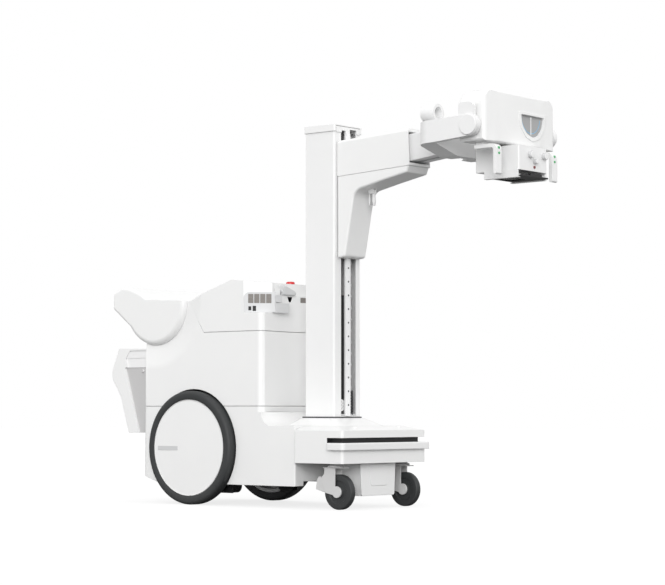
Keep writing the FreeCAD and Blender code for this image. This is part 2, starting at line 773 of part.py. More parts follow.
def column_mast():
    """The hollow mast with two long slots in its front and the bracket of the lift pulley."""
    height = column_top - column_bottom
    front = column_x + column_depth / 2
    tube = column_outline(0, column_bottom).extrude(V(0, 0, height))
    tube = tube.cut(column_outline(column_wall, column_bottom + 12).extrude(V(0, 0, height)))
    tongue = box(front - 7, front + cap_margin - 0.5, -tongue_half_width, tongue_half_width,
                 column_top - 6 + fit, column_top + 20.5)
    bracket = box(644, 650, -column_half_width + 2, -4, 425, 461)
    pin = rod_x(6, 648, 669, pulley_y, pulley_z)
    guides = [box(578, 592, y0, y1, column_bottom + 14, column_top - 8) for y0, y1 in
              ((-column_half_width + 3, -weight_half_width - fit), (weight_half_width + fit, column_half_width - 3))]
    tube = all_fused([tube, bracket, pin, tongue] + guides)
    for (y0, y1), top in ((slot_left, slot_left_top), (slot_right, slot_right_top)):
        tube = tube.cut(box(front - 10, front + 10, y0, y1, column_bottom + 3, top))
    tube = tube.fuse(foot_plate())
    return tube.cut(rod_z(spindle_radius + fit, foot_low - 1, column_bottom + 14, column_x, 0))


def foot_plate():
    """The plate at the foot of the mast, which covers the bearing of the column."""
    rear, front = column_x - column_depth / 2 - foot_reach, column_x + column_depth / 2 + foot_margin
    w = column_half_width + foot_margin
    return plan_prism([(rear, -w, 6), (front, -w, 6), (front, w, 6), (rear, w, 6)], foot_low, column_bottom)


def linear_rail():
    """The guide rail of the carriage, with a screw hole every rail_pitch."""
    front = column_x + column_depth / 2
    low, high = rail_low_z, column_top - 6
    w = rail_width / 2
    rail = plan_prism([(front, rail_y - w, 0), (front + rail_height * 0.45, rail_y - w + 2, 0),
                       (front + rail_height, rail_y - w, 0), (front + rail_height, rail_y + w, 0),
                       (front + rail_height * 0.45, rail_y + w - 2, 0), (front, rail_y + w, 0)], low, high)
    count = int((high - rail_first_hole - 10) // rail_pitch) + 1
    for i in range(count):
        rail = rail.cut(rod_x(4, front + 2, front + rail_height + 1, rail_y, rail_first_hole + i * rail_pitch))
    return rail


def column_cap():
    """The cap: it is open in front, where the top of the mast shows under its thin roof."""
    x0, x1 = column_x - column_depth / 2 - cap_margin, column_x + column_depth / 2 + cap_margin
    w, t = column_half_width + cap_margin, cap_thickness
    low, high = column_top - 3, column_top + 27
    cap = plan_prism([(x0, -w, 8), (x1, -w, 6), (x1, w, 6), (x0, w, 8)], low, high)
    space = plan_prism([(x0 + t, -w + t, 4), (x1 - t, -w + t, 0), (x1 - t, w - t, 0), (x0 + t, w - t, 4)],
                       low - 1, high - t)
    opening = tongue_half_width + 1.6
    space = space.fuse(box(x1 - 2 * t, x1 + 1, -opening, opening, low - 1, high - t))
    lugs = []
    for side in (-1, 1):
        y = sorted((side * (w - 30), side * (w - 3)))
        lugs.append(box(x0 + 20, x0 + 50, y[0], y[1], column_top + fit, high - t + 1))
        lugs.append(box(x1 - 50, x1 - 20, y[0], y[1], column_top + fit, high - t + 1))
    return all_fused([cap.cut(space)] + lugs)


def lift_chain():
    """The chain behind the right-hand slot, as a band of links with pins."""
    x, y = 661.0, 35.0
    band = box(x - 2.5, x + 2.5, y - 8, y + 8, column_bottom + 12 + fit, column_top - 15)
    pins = [rod_y(4, y - 12, y + 12, x, z) for z in range(int(column_bottom) + 27, int(column_top) - 30, 50)]
    return all_fused([band] + pins)


def lift_pulley():
    wheel = rod_x(pulley_radius, 655, 668, pulley_y, pulley_z)
    groove = Part.makeTorus(pulley_radius + 2, 5, V(661.5, pulley_y, pulley_z), V(1, 0, 0))
    holes = []
    for i in range(6):
        hole = rod_x(4, 650, 670, pulley_y, pulley_z + 15)
        hole.rotate(V(660, pulley_y, pulley_z), V(1, 0, 0), 60 * i)
        holes.append(hole)
    return wheel.cut(groove).cut(all_fused(holes)).cut(rod_x(6 + bore_fit, 650, 670, pulley_y, pulley_z))


def counterweight():
    w, pitch = weight_half_width, 50
    lows = [weight_low + pitch * i for i in range(weight_plates)]
    plates = [box(526, 639, -w, w, low, low + 48) for low in lows]
    core = box(530, 635, 4 - w, w - 4, weight_low, weight_low + pitch * weight_plates - 2)
    return all_fused(plates + [core])


# Carriage and telescopic arm. The arm is built level and then tilted up by its rise.

def risen(shape):
    lifted = shape.copy()
    lifted.rotate(V(housing_front_x, 0, arm_axis_z), V(0, -1, 0), arm_rise)
    return lifted


arm_seam = arm_axis_z - 78.5
arm_top = arm_seam + housing_height


def carriage_plate():
    """Plate with the bearing blocks that grip the rail and the two guides of the middle tube."""
    front = column_x + column_depth / 2
    plate = box(front + 9, front + 18, -66, 66, 1095, 1585)
    parts = [plate]
    w = rail_width / 2 + fit
    for z in (1120, 1220, 1470):
        parts.append(box(front + fit, front + 9, rail_y + w, rail_y + w + 24, z, z + 80))
        parts.append(box(front + fit, front + 9, rail_y - w - 24, rail_y - w, z, z + 80))
    for side in (-1, 1):
        y = sorted((side * (tube2_half_width + fit), side * (arm_half_width - arm_wall - 0.5)))
        parts.append(risen(box(688, 1060, y[0], y[1], arm_axis_z - 20, arm_axis_z + 20)))
    return all_fused(parts)


def arm_section(inset, z0, z1, radius):
    w = arm_half_width - inset
    return [(-w, z0, 0), (w, z0, 0), (w, z1, radius), (-w, z1, radius)]


def rail_notch():
    """Room for the guide rail where the arm covers pass in front of it."""
    front, w = column_x + column_depth / 2, rail_width / 2 + 2.5
    return box(front - 10, front + rail_height + 2, rail_y - w, rail_y + w, 1000, 1700)


def arm_upper_cover():
    outer = front_prism(arm_section(0, arm_seam, arm_top, 14), 640, housing_front_x)
    inner = front_prism(arm_section(arm_wall, arm_seam - 1, arm_top - 14, 4), 630, housing_front_x + 5)
    lip_w = arm_half_width - 1
    lip = box(housing_front_x - 16, housing_front_x, -lip_w, lip_w, arm_seam, arm_seam + arm_lip)
    cover = risen(outer.cut(inner).fuse(lip).removeSplitter())
    return cover.cut(box(500, housing_rear_x, -200, 200, 1300, 1700)).cut(rail_notch())


def lower_profile():
    return side_face([
        (housing_rear_x, seam_z(housing_rear_x) - fit, 0), (housing_rear_x, leg_bottom_z, 4),
        (leg_front_bottom_x, leg_bottom_z + 5, 14), (778, 1374, 52), (932, 1406.5, 90), (1066, 1432, 8),
        (housing_front_x, seam_z(housing_front_x) - fit, 0)])


def arm_lower_cover():
    """The leg and the belly under the arm, with lugs for the lock lever."""
    w = arm_half_width
    solid = lower_profile()
    solid.translate(V(0, -w, 0))
    solid = solid.extrude(V(0, 2 * w, 0))
    rims = [e for e in solid.Edges if e.BoundBox.YLength < 1e-3 and abs(abs(e.CenterOfMass.y) - w) < 1e-3
            and e.BoundBox.XMin > housing_rear_x + 0.5 and e.BoundBox.ZMax < seam_z(e.BoundBox.XMax) - 1]
    solid = solid.makeFillet(9, rims)
    hollow = shrunk(lower_profile(), arm_wall)
    hollow.translate(V(0, -w + arm_wall, 0))
    hollow = hollow.extrude(V(0, 2 * (w - arm_wall), 0))
    for step in (V(0, 0, 2 * arm_wall), V(-2 * arm_wall, 0, 0)):
        moved = hollow.copy()
        moved.translate(step)
        solid = solid.cut(moved)
    solid = solid.cut(hollow)
    groove = box(600, 1200, -200, 200, arm_seam - 4, arm_seam + 20)
    groove = risen(groove.cut(box(500, housing_front_x - 5, -w + 3, w - 3, 1300, 1700)))
    lugs = [box(806, 834, y0, y1, lever_z - 12, lever_z + 16) for y0, y1 in ((-11, -5.4), (5.4, 11))]
    pin = rod_y(4, -11, 11, lever_x, lever_z)
    return solid.cut(groove).cut(rail_notch()).fuse(lugs).fuse(pin).removeSplitter()


def arm_lock_lever():
    blade = side_prism([(lever_x - 11, lever_z - 4, 4), (lever_x + 11, lever_z - 4, 4), (838, 1330, 10),
                        (833, 1308, 9), (805, 1313, 9), (803, 1336, 10)], -5, 5)
    eye = rod_y(7, -5, 5, lever_x, lever_z)
    return blade.fuse(eye).cut(rod_y(4 + bore_fit, -6, 6, lever_x, lever_z)).removeSplitter()


def tube_section(half_width, height, radius):
    h = height / 2
    return [(-half_width, arm_axis_z - h, radius), (half_width, arm_axis_z - h, radius),
            (half_width, arm_axis_z + h, radius), (-half_width, arm_axis_z + h, radius)]


def arm_middle_tube():
    """The middle stage: its belly tapers up to the front and is slotted underneath."""
    x0, x1, h = tube2_rear_x, tube2_front_x, tube2_height / 2
    taper = 13.0
    outer = front_prism(tube_section(tube2_half_width, tube2_height, 6), x0, x1)
    inner = front_prism(tube_section(tube2_half_width - tube2_wall, tube2_height - 2 * tube2_wall, 2),
                        x0 - 1, x1 + 1)
    wedge = side_prism([(housing_front_x, arm_axis_z - h - 1, 0), (x1 + 2, arm_axis_z - h - 1, 0),
                        (x1 + 2, arm_axis_z - h + taper, 0), (housing_front_x, arm_axis_z - h, 0)], -100, 100)
    floor = side_prism([(housing_front_x - 40, arm_axis_z - h + 0.5, 0), (x1, arm_axis_z - h + 0.5, 0),
                        (x1, arm_axis_z - h + taper + tube2_wall, 0),
                        (housing_front_x - 40, arm_axis_z - h + tube2_wall, 0)],
                       -tube2_half_width + 1, tube2_half_width - 1)
    pads = []
    for side in (-1, 1):
        y = sorted((side * (tube3_half_width + fit), side * (tube2_half_width - 1)))
        pads.append(box(1100, x1 - 2, y[0], y[1], arm_axis_z - 15, arm_axis_z + 15))
    tube = all_fused([outer.cut(inner), floor] + pads).cut(wedge)
    slot = box(x0 + 20, x1 - 22, -12, 12, arm_axis_z - h - 5, arm_axis_z - h + taper + 10)
    return risen(tube.cut(slot))


def arm_inner_tube():
    """The inner stage, ending in the round spigot that the yoke turns on."""
    x0, x1 = tube3_rear_x, hub_face_x - fit
    outer = front_prism(tube_section(tube3_half_width, tube3_height, 5), x0, x1)
    inner = front_prism(tube_section(tube3_half_width - 4, tube3_height - 8, 2), x0 - 1, x1 - 12)
    spigot = rod_x(spigot_radius, x1 - 5, hub_face_x + 40, 0, arm_axis_z)
    return risen(outer.cut(inner).fuse(spigot).removeSplitter())


# Yoke and tube head

def head_yoke():
    """The fork that carries the tube head, with the sleeve that guides the cables."""
    w, inner = yoke_outer_y, yoke_outer_y - yoke_arm_thickness
    plan = plan_face([(1272, -w, 70), (tilt_x, -w, 0), (tilt_x, w, 0), (1272, w, 70)], 1440)
    gap = plan_face([(1364, -inner, 12), (tilt_x + 10, -inner, 0), (tilt_x + 10, inner, 0), (1364, inner, 12)], 1440)
    fork = plan.cut(gap).extrude(V(0, 0, 220))
    r = trunnion_radius + 2.5
    side = side_face([(1260, 1509, 24), (1379, 1513, 0), (tilt_x, tilt_z - r, 0), (tilt_x, tilt_z + r, 0),
                      (1463, tilt_z + r - 5, 80), (1260, 1601, 24)], -w - 5).extrude(V(0, 2 * w + 10, 0))
    belly = front_prism([(-268, 1516, 0), (-110, 1474, 60), (110, 1474, 60), (268, 1516, 0), (268, 1560, 0),
                         (-268, 1560, 0)], 1276, 1364).common(plan.extrude(V(0, 0, 220)))
    parts = [fork.common(side), belly]
    for sign in (-1, 1):
        y = sorted((sign * inner, sign * w))
        parts.append(rod_y(r, y[0], y[1], tilt_x, tilt_z))
        block = sorted((sign * inner, sign * (w - 4)))
        parts.append(side_prism([(1499, tilt_z, 0), (1571, tilt_z, 0), (1571, 1663, 20), (1499, 1663, 12)],
                                block[0], block[1]))
    stem = box(sleeve_front_x - 24, sleeve_front_x - 6, sleeve_y - 10, sleeve_y + 10, 1585,
               sleeve_z - sleeve_radius + 3)
    sleeve = rod_x(sleeve_radius, sleeve_front_x - sleeve_length, sleeve_front_x, sleeve_y, sleeve_z)
    yoke = all_fused(parts + [stem, sleeve])
    yoke = yoke.cut(rod_x(sleeve_bore, sleeve_front_x - sleeve_length - 5, sleeve_front_x + 5, sleeve_y, sleeve_z))
    yoke = yoke.cut(risen(rod_x(hub_recess, 1100, hub_face_x, 0, arm_axis_z)))
    yoke = yoke.cut(risen(rod_x(spigot_radius + bore_fit, 1300, 1420, 0, arm_axis_z)))
    for sign in (-1, 1):
        y = sorted((sign * (inner - 5), sign * (w + 5)))
        yoke = yoke.cut(rod_y(trunnion_pin_radius + bore_fit, y[0], y[1], tilt_x, tilt_z))
    return yoke


def trunnion_caps():
    cap = rod_y(trunnion_radius, -yoke_outer_y - 7, -yoke_outer_y - fit, tilt_x, tilt_z)
    cap = cap.makeFillet(3, [e for e in cap.Edges if abs(e.CenterOfMass.y + yoke_outer_y + 7) < 1e-3
                             and e.Length > 100])
    return Part.makeCompound([cap, mirrored(cap)])


def head_form(inset):
    """The moulded form of the tube head, with every face moved in by inset."""
    w = head_half_width - inset
    low, high = head_bottom + inset, head_top - inset
    rear, front = head_rear_x + inset, head_front_x - inset
    edge = front - head_bow
    side = side_prism([(rear, low, 14), (front - 4, low, 14), (front + 3, low + 60, 40), (front, high, 34),
                       (rear + 6, high, 40), (rear, high - 60, 30)], -w, w)
    c = 20.0
    outline = [Part.LineSegment(V(rear, -w, 0), V(edge - c, -w, 0)),
               Part.Arc(V(edge - c, -w, 0), V(edge - 0.3 * c, -w + 0.3 * c, 0), V(edge, -w + c, 0)),
               Part.Arc(V(edge, -w + c, 0), V(front, 0, 0), V(edge, w - c, 0)),
               Part.Arc(V(edge, w - c, 0), V(edge - 0.3 * c, w - 0.3 * c, 0), V(edge - c, w, 0)),
               Part.LineSegment(V(edge - c, w, 0), V(rear, w, 0)),
               Part.LineSegment(V(rear, w, 0), V(rear, -w, 0))]
    plan = Part.Face(Part.Wire([e.toShape() for e in outline]))
    plan.translate(V(0, 0, head_bottom - 20))
    ends = front_prism([(-w, low, 16), (w, low, 16), (w, high - 30, 60), (w - 70, high, 90), (-w + 70, high, 90),
                        (-w, high - 30, 60)], head_rear_x - 10, head_front_x + 20)
    return side.common(plan.extrude(V(0, 0, 260))).common(ends)


def shield(margin, x0, x1):
    """The outline of the angle window as a prism along X."""
    h = window_width / 2 + margin
    top, low = window_top + margin * 0.6, window_bottom - margin
    reach = top - low
    points = [(-h, top, 5), (h, top, 5), (h * 0.93, top - 0.5 * reach, 60), (h * 0.5, low + 0.13 * reach, 40),
              (0, low, 40), (-h * 0.5, low + 0.13 * reach, 40), (-h * 0.93, top - 0.5 * reach, 60)]
    return front_prism([(window_y + y, z, r) for y, z, r in points], x0, x1)


def tube_head_cover():
    shell = head_form(0).cut(head_form(head_wall))
    ring = head_form(-2.5).common(shield(ring_margin, window_depth_x - 6, 1640))
    pan = shield(4, window_depth_x - 5, window_depth_x + 8)
    bosses, pins = [], []
    for side in (-1, 1):
        y = sorted((side * (head_half_width - head_wall - 1), side * (yoke_outer_y - yoke_arm_thickness - fit)))
        bosses.append(rod_y(34, y[0], y[1], tilt_x, tilt_z))
        y = sorted((side * (head_half_width - 10), side * (yoke_outer_y - 1)))
        pins.append(rod_y(trunnion_pin_radius, y[0], y[1], tilt_x, tilt_z))
    cradle = [box(1505, 1593, y, y + 8, head_bottom + 2, tube_z - tube_radius / 2) for y in (-150, 142)]
    cradle = [c.cut(rod_y(tube_radius + fit, -160, 160, tube_x, tube_z)) for c in cradle]
    shell = all_fused([shell, ring, pan] + bosses + pins + cradle)
    shell = shell.cut(shield(0, window_depth_x, 1640))
    pivot = rod_x(needle_pin_radius, window_depth_x - 3, window_depth_x + 5, window_y, needle_z)
    seat = rod_z(neck_radius + 12, head_bottom + 1, collar_low - fit, beam_x, 0).common(head_form(1))
    shell = shell.fuse(seat).cut(rod_z(neck_radius + bore_fit, head_bottom - 5, collar_low, beam_x, 0))
    shell = shell.cut(rod_z(collar_radius + fit, collar_low - fit, collar_low + 15, beam_x, 0))
    return shell.fuse(pivot)


def xray_tube():
    housing = rod_y(tube_radius, -175, 175, tube_x, tube_z)
    ends = rod_y(tube_radius - 12, -190, 190, tube_x, tube_z)
    port = rod_z(26, tube_z - tube_radius - 10, tube_z - 30, beam_x, 0)
    return all_fused([housing, ends, port])


def angle_window():
    plate = shield(-fit, window_depth_x + fit, window_depth_x + 2)
    return plate.cut(rod_x(needle_pin_radius + fit, window_depth_x - 1, window_depth_x + 4, window_y, needle_z))


def angle_needle():
    """The pointer that hangs plumb and shows the tilt of the head."""
    x0 = window_depth_x + 2.4
    blade = front_prism([(window_y - 2.5, needle_z, 0), (window_y + 2.5, needle_z, 0),
                         (window_y + 2.5, window_bottom + 12, 2), (window_y - 2.5, window_bottom + 12, 2)],
                        x0, x0 + 1.4)
    eye = rod_x(5, x0, x0 + 1.4, window_y, needle_z)
    bore = rod_x(needle_pin_radius + bore_fit, x0 - 1, x0 + 4, window_y, needle_z)
    return blade.fuse(eye).cut(bore).removeSplitter()


def head_handles():
    """Two bent grips under the front of the head; each has two button wells."""
    x1 = grip_front_x
    grip = side_prism([(1530, grip_rail_z, 4), (x1 - 16, grip_rail_z, 9), (x1 - 16, grip_low, 7),
                       (x1, grip_low, 7), (x1, grip_rail_z + 16, 24), (1530, grip_rail_z + 16, 4)],
                      -handle_y1, -handle_y0)
    foot = box(1534, 1572, -handle_y1 + 5, -handle_y0 - 5, grip_rail_z + 14, head_bottom - fit)
    grip = grip.fuse(foot)
    middle = -(handle_y0 + handle_y1) / 2
    for z in button_heights:
        grip = grip.cut(rod_x(5 + bore_fit, x1 - 8, x1 + 1, middle, z))
    return Part.makeCompound([grip, mirrored(grip)])


def handle_button(side, z):
    middle = side * (handle_y0 + handle_y1) / 2
    return rod_x(5, grip_front_x - 5, grip_front_x + 2, middle, z)


# Collimator

def collimator_housing():
    w, x0, x1 = collimator_half_width, collimator_rear_x, collimator_front_x
    low, high = collimator_bottom, collimator_top
    shell = plan_prism([(x0, -w, 6), (x1, -w, 6), (x1, w, 6), (x0, w, 6)], low, high)
    shell = shell.cut(box(x0 + 4, x1 - 4, -w + 4, w - 4, low + 4, high - 4))
    shell = shell.cut(box(beam_x - 55, beam_x + 55, -55, 55, low - 1, low + 5))
    neck = rod_z(neck_radius, high - 2, collar_low + 6, beam_x, 0)
    collar = rod_z(collar_radius, collar_low, collar_low + 6, beam_x, 0)
    shell = all_fused([shell, neck, collar])
    shell = shell.cut(rod_z(neck_radius - 8, high - 10, head_bottom + 30, beam_x, 0))
    for y, z, r in knobs:
        shell = shell.cut(rod_x(4 + bore_fit, x1 - 8, x1 + 1, y, z))
    return shell.cut(rod_x(6 + bore_fit, x1 - 8, x1 + 1, light_y, light_z))


def knob(y, z, r):
    """A turning knob on a shaft, with a flat finger groove round its edge."""
    x1 = collimator_front_x
    body = rod_x(r, x1 + fit, x1 + knob_length, y, z)
    body = body.makeFillet(2, [e for e in body.Edges if abs(e.CenterOfMass.x - x1 - knob_length) < 1e-3
                               and e.Length > 20])
    notch = box(x1 + knob_length - 2, x1 + knob_length + 1, y - 0.8, y + 0.8, z + 2, z + r + 1)
    return body.fuse(rod_x(4, x1 - 6, x1 + 2, y, z)).cut(notch)


def light_button():
    x1 = collimator_front_x
    return rod_x(6, x1 - 3, x1 + 3, light_y, light_z)


def accessory_rails():
    """Channel rails under the collimator that hold the filter tray."""
    top = collimator_bottom - fit
    parts = [box(1496, 1504, -103, 103, tray_z1 + 1, top)]
    for side in (-1, 1):
        y = sorted((side * (tray_half_width + 5), side * 103))
        parts.append(box(1496, 1663, y[0], y[1], rail_low, top))
        y = sorted((side * (tray_half_width - 7), side * 103))
        parts.append(box(1496, 1663, y[0], y[1], rail_low, rail_low + 4))
        y = sorted((side * (tray_half_width - 7), side * 103))
        parts.append(box(1496, 1663, y[0], y[1], tray_z1 + fit, tray_z1 + 4))
    return all_fused(parts)


def filter_tray():
    tray = plan_prism([(1506, -tray_half_width, 0), (1684, -tray_half_width, 6), (1684, tray_half_width, 6),
                       (1506, tray_half_width, 0)], tray_z0, tray_z1)
    grip = box(1672, 1684, -40, 40, tray_z1 - 1, tray_z1 + 9)
    window = plan_prism([(beam_x - 45, -45, 4), (beam_x + 45, -45, 4), (beam_x + 45, 45, 4),
                         (beam_x - 45, 45, 4)], tray_z0 - 1, tray_z1 + 1)
    return tray.fuse(grip).cut(window)


# Detector bin on the rear wall

def bin_profile(inset):
    face = side_face([
        (body_rear_x, bin_top, 0), (-512, bin_top + 3, 12), (bin_reach_x, 605, 40), (bin_reach_x, 570, 40),
        (-497, 484, 40),
        (-443, bin_bottom, 8), (body_rear_x, bin_bottom, 0)])
    return shrunk(face, inset)


def bin_side_steps():
    """The three steps of the side panel: each is deeper than the one above."""
    x1 = body_rear_x + 5
    return [(4.0, [(x1, 660, 0), (x1, 696, 0), (-441, 696, 3), (-466, 660, 3)]),
            (7.0, [(x1, 618, 0), (x1, 662, 0), (-466, 662, 0), (-454, 618, 0)]),
            (bin_panel_depth, [(x1, bin_bottom - 5, 0), (x1, 619, 0), (-472, 619, 3), (-376, bin_bottom - 5, 0)])]


def detector_bin():
    w = bin_half_width
    form = bin_profile(0)
    form.translate(V(0, -w, 0))
    form = form.extrude(V(0, 2 * w, 0))
    well = side_prism([(body_rear_x - 12, bin_top + 20, 0), (-490, bin_top + 20, 0), (-520, 590, 0),
                       (-470, 480, 0), (-420, bin_bottom + 18, 0), (body_rear_x - 12, bin_bottom + 18, 0)],
                      -w + 14, w - 14)
    form = form.cut(well)
    for side in (-1, 1):
        for depth, outline in bin_side_steps():
            y = sorted((side * (w - depth), side * (w + 2)))
            form = form.cut(side_prism(outline, y[0], y[1]))
        y = sorted((side * (w - bin_panel_depth - 1), side * (w - 3)))
        form = form.fuse(rod_y(7, y[0], y[1], -361, 602))
    form.translate(V(-fit, 0, 0))
    return form


# Pieces on the console

def port_panel():
    """The slanted panel with its louvres and sockets, and the two connector blocks beside it."""
    low, high = panel_low + 3, panel_high - 3
    face = side_face([(1, low, 3), (143, low, 3), (143, high, 3), (1, high, 26)], -3.2)
    plate = face.extrude(V(0, 2.4, 0))
    plate = plate.fuse([box(2, 6, -0.9, 0, low + 3, high - 30), box(139, 143, -0.9, 0, low + 3, high - 3)])
    for x0, x1, z0, z1 in panel_openings():
        plate = plate.cut(box(x0 - fit, x1 + fit, -5, 0.5, z0 - fit, z1 + fit))
    plate = on_panel(plate)
    dark = box(380, 407, -179, -126, 897, 928)
    pale = box(374, 407, -172, -79, 851, 894)
    solid = body_form(0).cut(panel_corner()).fuse(on_panel(box(-10, 138.5, -60, 0, 800, 1000)))
    return plate.fuse([dark.cut(solid), pale.cut(solid)]).removeSplitter()


def panel_openings():
    """Openings of the port panel: four louvres above, two sockets below."""
    louvres = [(x, x + 22.5, 893, 933) for x in (21, 47.5, 74, 100.5)]
    sockets = [(22, 34, 861, 878), (41, 55, 858, 880)]
    return louvres + sockets


def panel_inserts():
    """The darker liner behind the panel, with the louvre strips and the sockets."""
    parts = [box(13, 138, -0.8, 0, panel_low + 4, panel_high - 8)]
    for x0, x1, z0, z1 in panel_openings()[:4]:
        parts.append(box(x0, x1, -1.6, -0.4, z0, z1))
        for i in range(louvre_slats):
            z = z0 + 2 + i * (z1 - z0 - 2) / louvre_slats
            slat = box(x0, x1, -3.6, -1.2, z, z + 1.4)
            slat.rotate(V(x0, -1.4, z + 0.7), V(1, 0, 0), 20)
            parts.append(slat)
    for x0, x1, z0, z1 in panel_openings()[4:]:
        parts.append(box(x0, x1, -4.4, -0.4, z0, z1).cut(box(x0 + 2.5, x1 - 2.5, -6, -1.4, z0 + 2.5, z1 - 2.5)))
    return on_panel(all_fused(parts))


def emergency_stop_button():
    top = rod_z(stop_radius, 980, 1000, stop_x, stop_y)
    top = top.makeFillet(7, [e for e in top.Edges if abs(e.CenterOfMass.z - 1000) < 1e-3 and e.Length > 50])
    return top.fuse(rod_z(8, 952, 981, stop_x, stop_y)).removeSplitter()


def hand_switch():
    """The exposure handset that rests on the front shelf."""
    x0, x1 = shelf_x + 3, shelf_x + 29
    body = side_prism([(x0, shelf_z + fit, 6), (x1, shelf_z + fit, 6), (x1, 977, 12), (x0, 977, 12)], -102, -22)
    slope = front_prism([(-92, 990, 0), (-92, 977, 30), (-22, 951, 0), (-10, 951, 0), (-10, 990, 0)], x0 - 5, x1 + 5)
    body = body.cut(slope).fuse(rod_y(9, -30, -12, shelf_x + 16, exposure_z))
    body = body.fuse(rod_y(8, -112, -101, shelf_x + 16, 950))
    return body.cut(rod_y(6 + bore_fit, -20, -10, shelf_x + 16, exposure_z)).removeSplitter()


def exposure_button():
    return rod_y(6, -16, -7, shelf_x + 16, exposure_z)


pieces = {
    "base_frame": base_frame,
    "lower_cover": lower_cover,
    "mid_cover": mid_cover,
    "console_top_cover": console_top_cover,
    "rear_console": rear_console,
    "control_display": control_display,
    "push_handle": push_handle,
    "deadman_bar": deadman_bar,
    "front_base_cover": front_base_cover,
    "front_bumper": front_bumper,
    "front_box": front_box,
    "port_panel": port_panel,
    "panel_inserts": panel_inserts,
    "detector_bin": detector_bin,
    "battery_pack": battery_pack,
    "xray_generator": xray_generator,
    "drive_gearmotors": drive_gearmotors,
    "rear_tyre_right": rear_tyre,
    "rear_tyre_left": lambda: mirrored(rear_tyre()),
    "rear_hub_right": rear_hub,
    "rear_hub_left": lambda: mirrored(rear_hub()),
    "caster_fork_right": caster_fork,
    "caster_fork_left": lambda: mirrored(caster_fork()),
    "caster_pedal_right": caster_pedal,
    "caster_pedal_left": lambda: mirrored(caster_pedal()),
    "caster_wheel_right": caster_wheel,
    "caster_wheel_left": lambda: mirrored(caster_wheel()),
    "column_mast": column_mast,
    "linear_rail": linear_rail,
    "column_cap": column_cap,
    "lift_chain": lift_chain,
    "lift_pulley": lift_pulley,
    "counterweight": counterweight,
    "carriage_plate": carriage_plate,
    "arm_upper_cover": arm_upper_cover,
    "arm_lower_cover": arm_lower_cover,
    "arm_lock_lever": arm_lock_lever,
    "arm_middle_tube": arm_middle_tube,
    "arm_inner_tube": arm_inner_tube,
    "head_yoke": head_yoke,
    "trunnion_caps": trunnion_caps,
    "tube_head_cover": tube_head_cover,
    "xray_tube": xray_tube,
    "angle_window": angle_window,
    "angle_needle": angle_needle,
    "head_handles": head_handles,
    "upper_button_right": lambda: handle_button(-1, button_heights[0]),
    "lower_button_right": lambda: handle_button(-1, button_heights[1]),
    "upper_button_left": lambda: handle_button(1, button_heights[0]),
    "lower_button_left": lambda: handle_button(1, button_heights[1]),
    "collimator_housing": collimator_housing,
    "accessory_rails": accessory_rails,
    "filter_tray": filter_tray,
    "knob_right": lambda: knob(*knobs[0]),
    "knob_left": lambda: knob(*knobs[1]),
    "knob_centre": lambda: knob(*knobs[2]),
    "light_button": light_button,
    "emergency_stop_button": emergency_stop_button,
    "hand_switch": hand_switch,
    "exposure_button": exposure_button,
}

if __name__ == "__main__":
    os.makedirs("parts", exist_ok=True)
    for name, make in pieces.items():
        save(name, make())
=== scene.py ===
import bpy
import bmesh
import json
import math
from mathutils import Matrix, Vector

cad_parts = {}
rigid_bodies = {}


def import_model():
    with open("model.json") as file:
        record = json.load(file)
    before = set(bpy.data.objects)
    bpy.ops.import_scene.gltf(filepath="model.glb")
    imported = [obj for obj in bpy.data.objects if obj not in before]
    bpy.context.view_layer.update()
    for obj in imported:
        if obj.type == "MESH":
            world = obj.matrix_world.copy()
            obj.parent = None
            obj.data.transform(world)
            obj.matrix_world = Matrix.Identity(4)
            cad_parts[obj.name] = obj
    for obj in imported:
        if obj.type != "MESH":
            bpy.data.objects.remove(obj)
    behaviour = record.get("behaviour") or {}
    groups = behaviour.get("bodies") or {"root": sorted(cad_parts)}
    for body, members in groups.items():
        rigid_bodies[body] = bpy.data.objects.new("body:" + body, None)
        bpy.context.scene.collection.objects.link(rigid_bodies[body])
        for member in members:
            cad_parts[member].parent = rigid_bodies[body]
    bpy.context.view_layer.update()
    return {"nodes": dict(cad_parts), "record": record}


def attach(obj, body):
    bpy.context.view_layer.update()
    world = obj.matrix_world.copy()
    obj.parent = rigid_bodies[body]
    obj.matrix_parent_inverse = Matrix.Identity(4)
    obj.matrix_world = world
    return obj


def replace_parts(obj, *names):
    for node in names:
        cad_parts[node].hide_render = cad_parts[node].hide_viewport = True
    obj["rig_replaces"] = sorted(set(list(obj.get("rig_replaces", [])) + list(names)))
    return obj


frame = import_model()
nodes = frame["nodes"]
behaviour = frame["record"]["behaviour"]
bodyOf = {n: body for body, members in behaviour["bodies"].items() for n in members}
slotOf = {s["node"]: s["material_slot"] for s in frame["record"]["subparts"]}
originX = 0.56485  # the rear axle lies this far behind the frame's origin
print("frame loaded:", len(nodes), "nodes")


def place(x, y, z):  # a point measured from the rear axle and the floor, in metres
    return Vector((x - originX, y, z))


# Finishes: every one has grain and mottling from noise, and most have relief and rounded edges

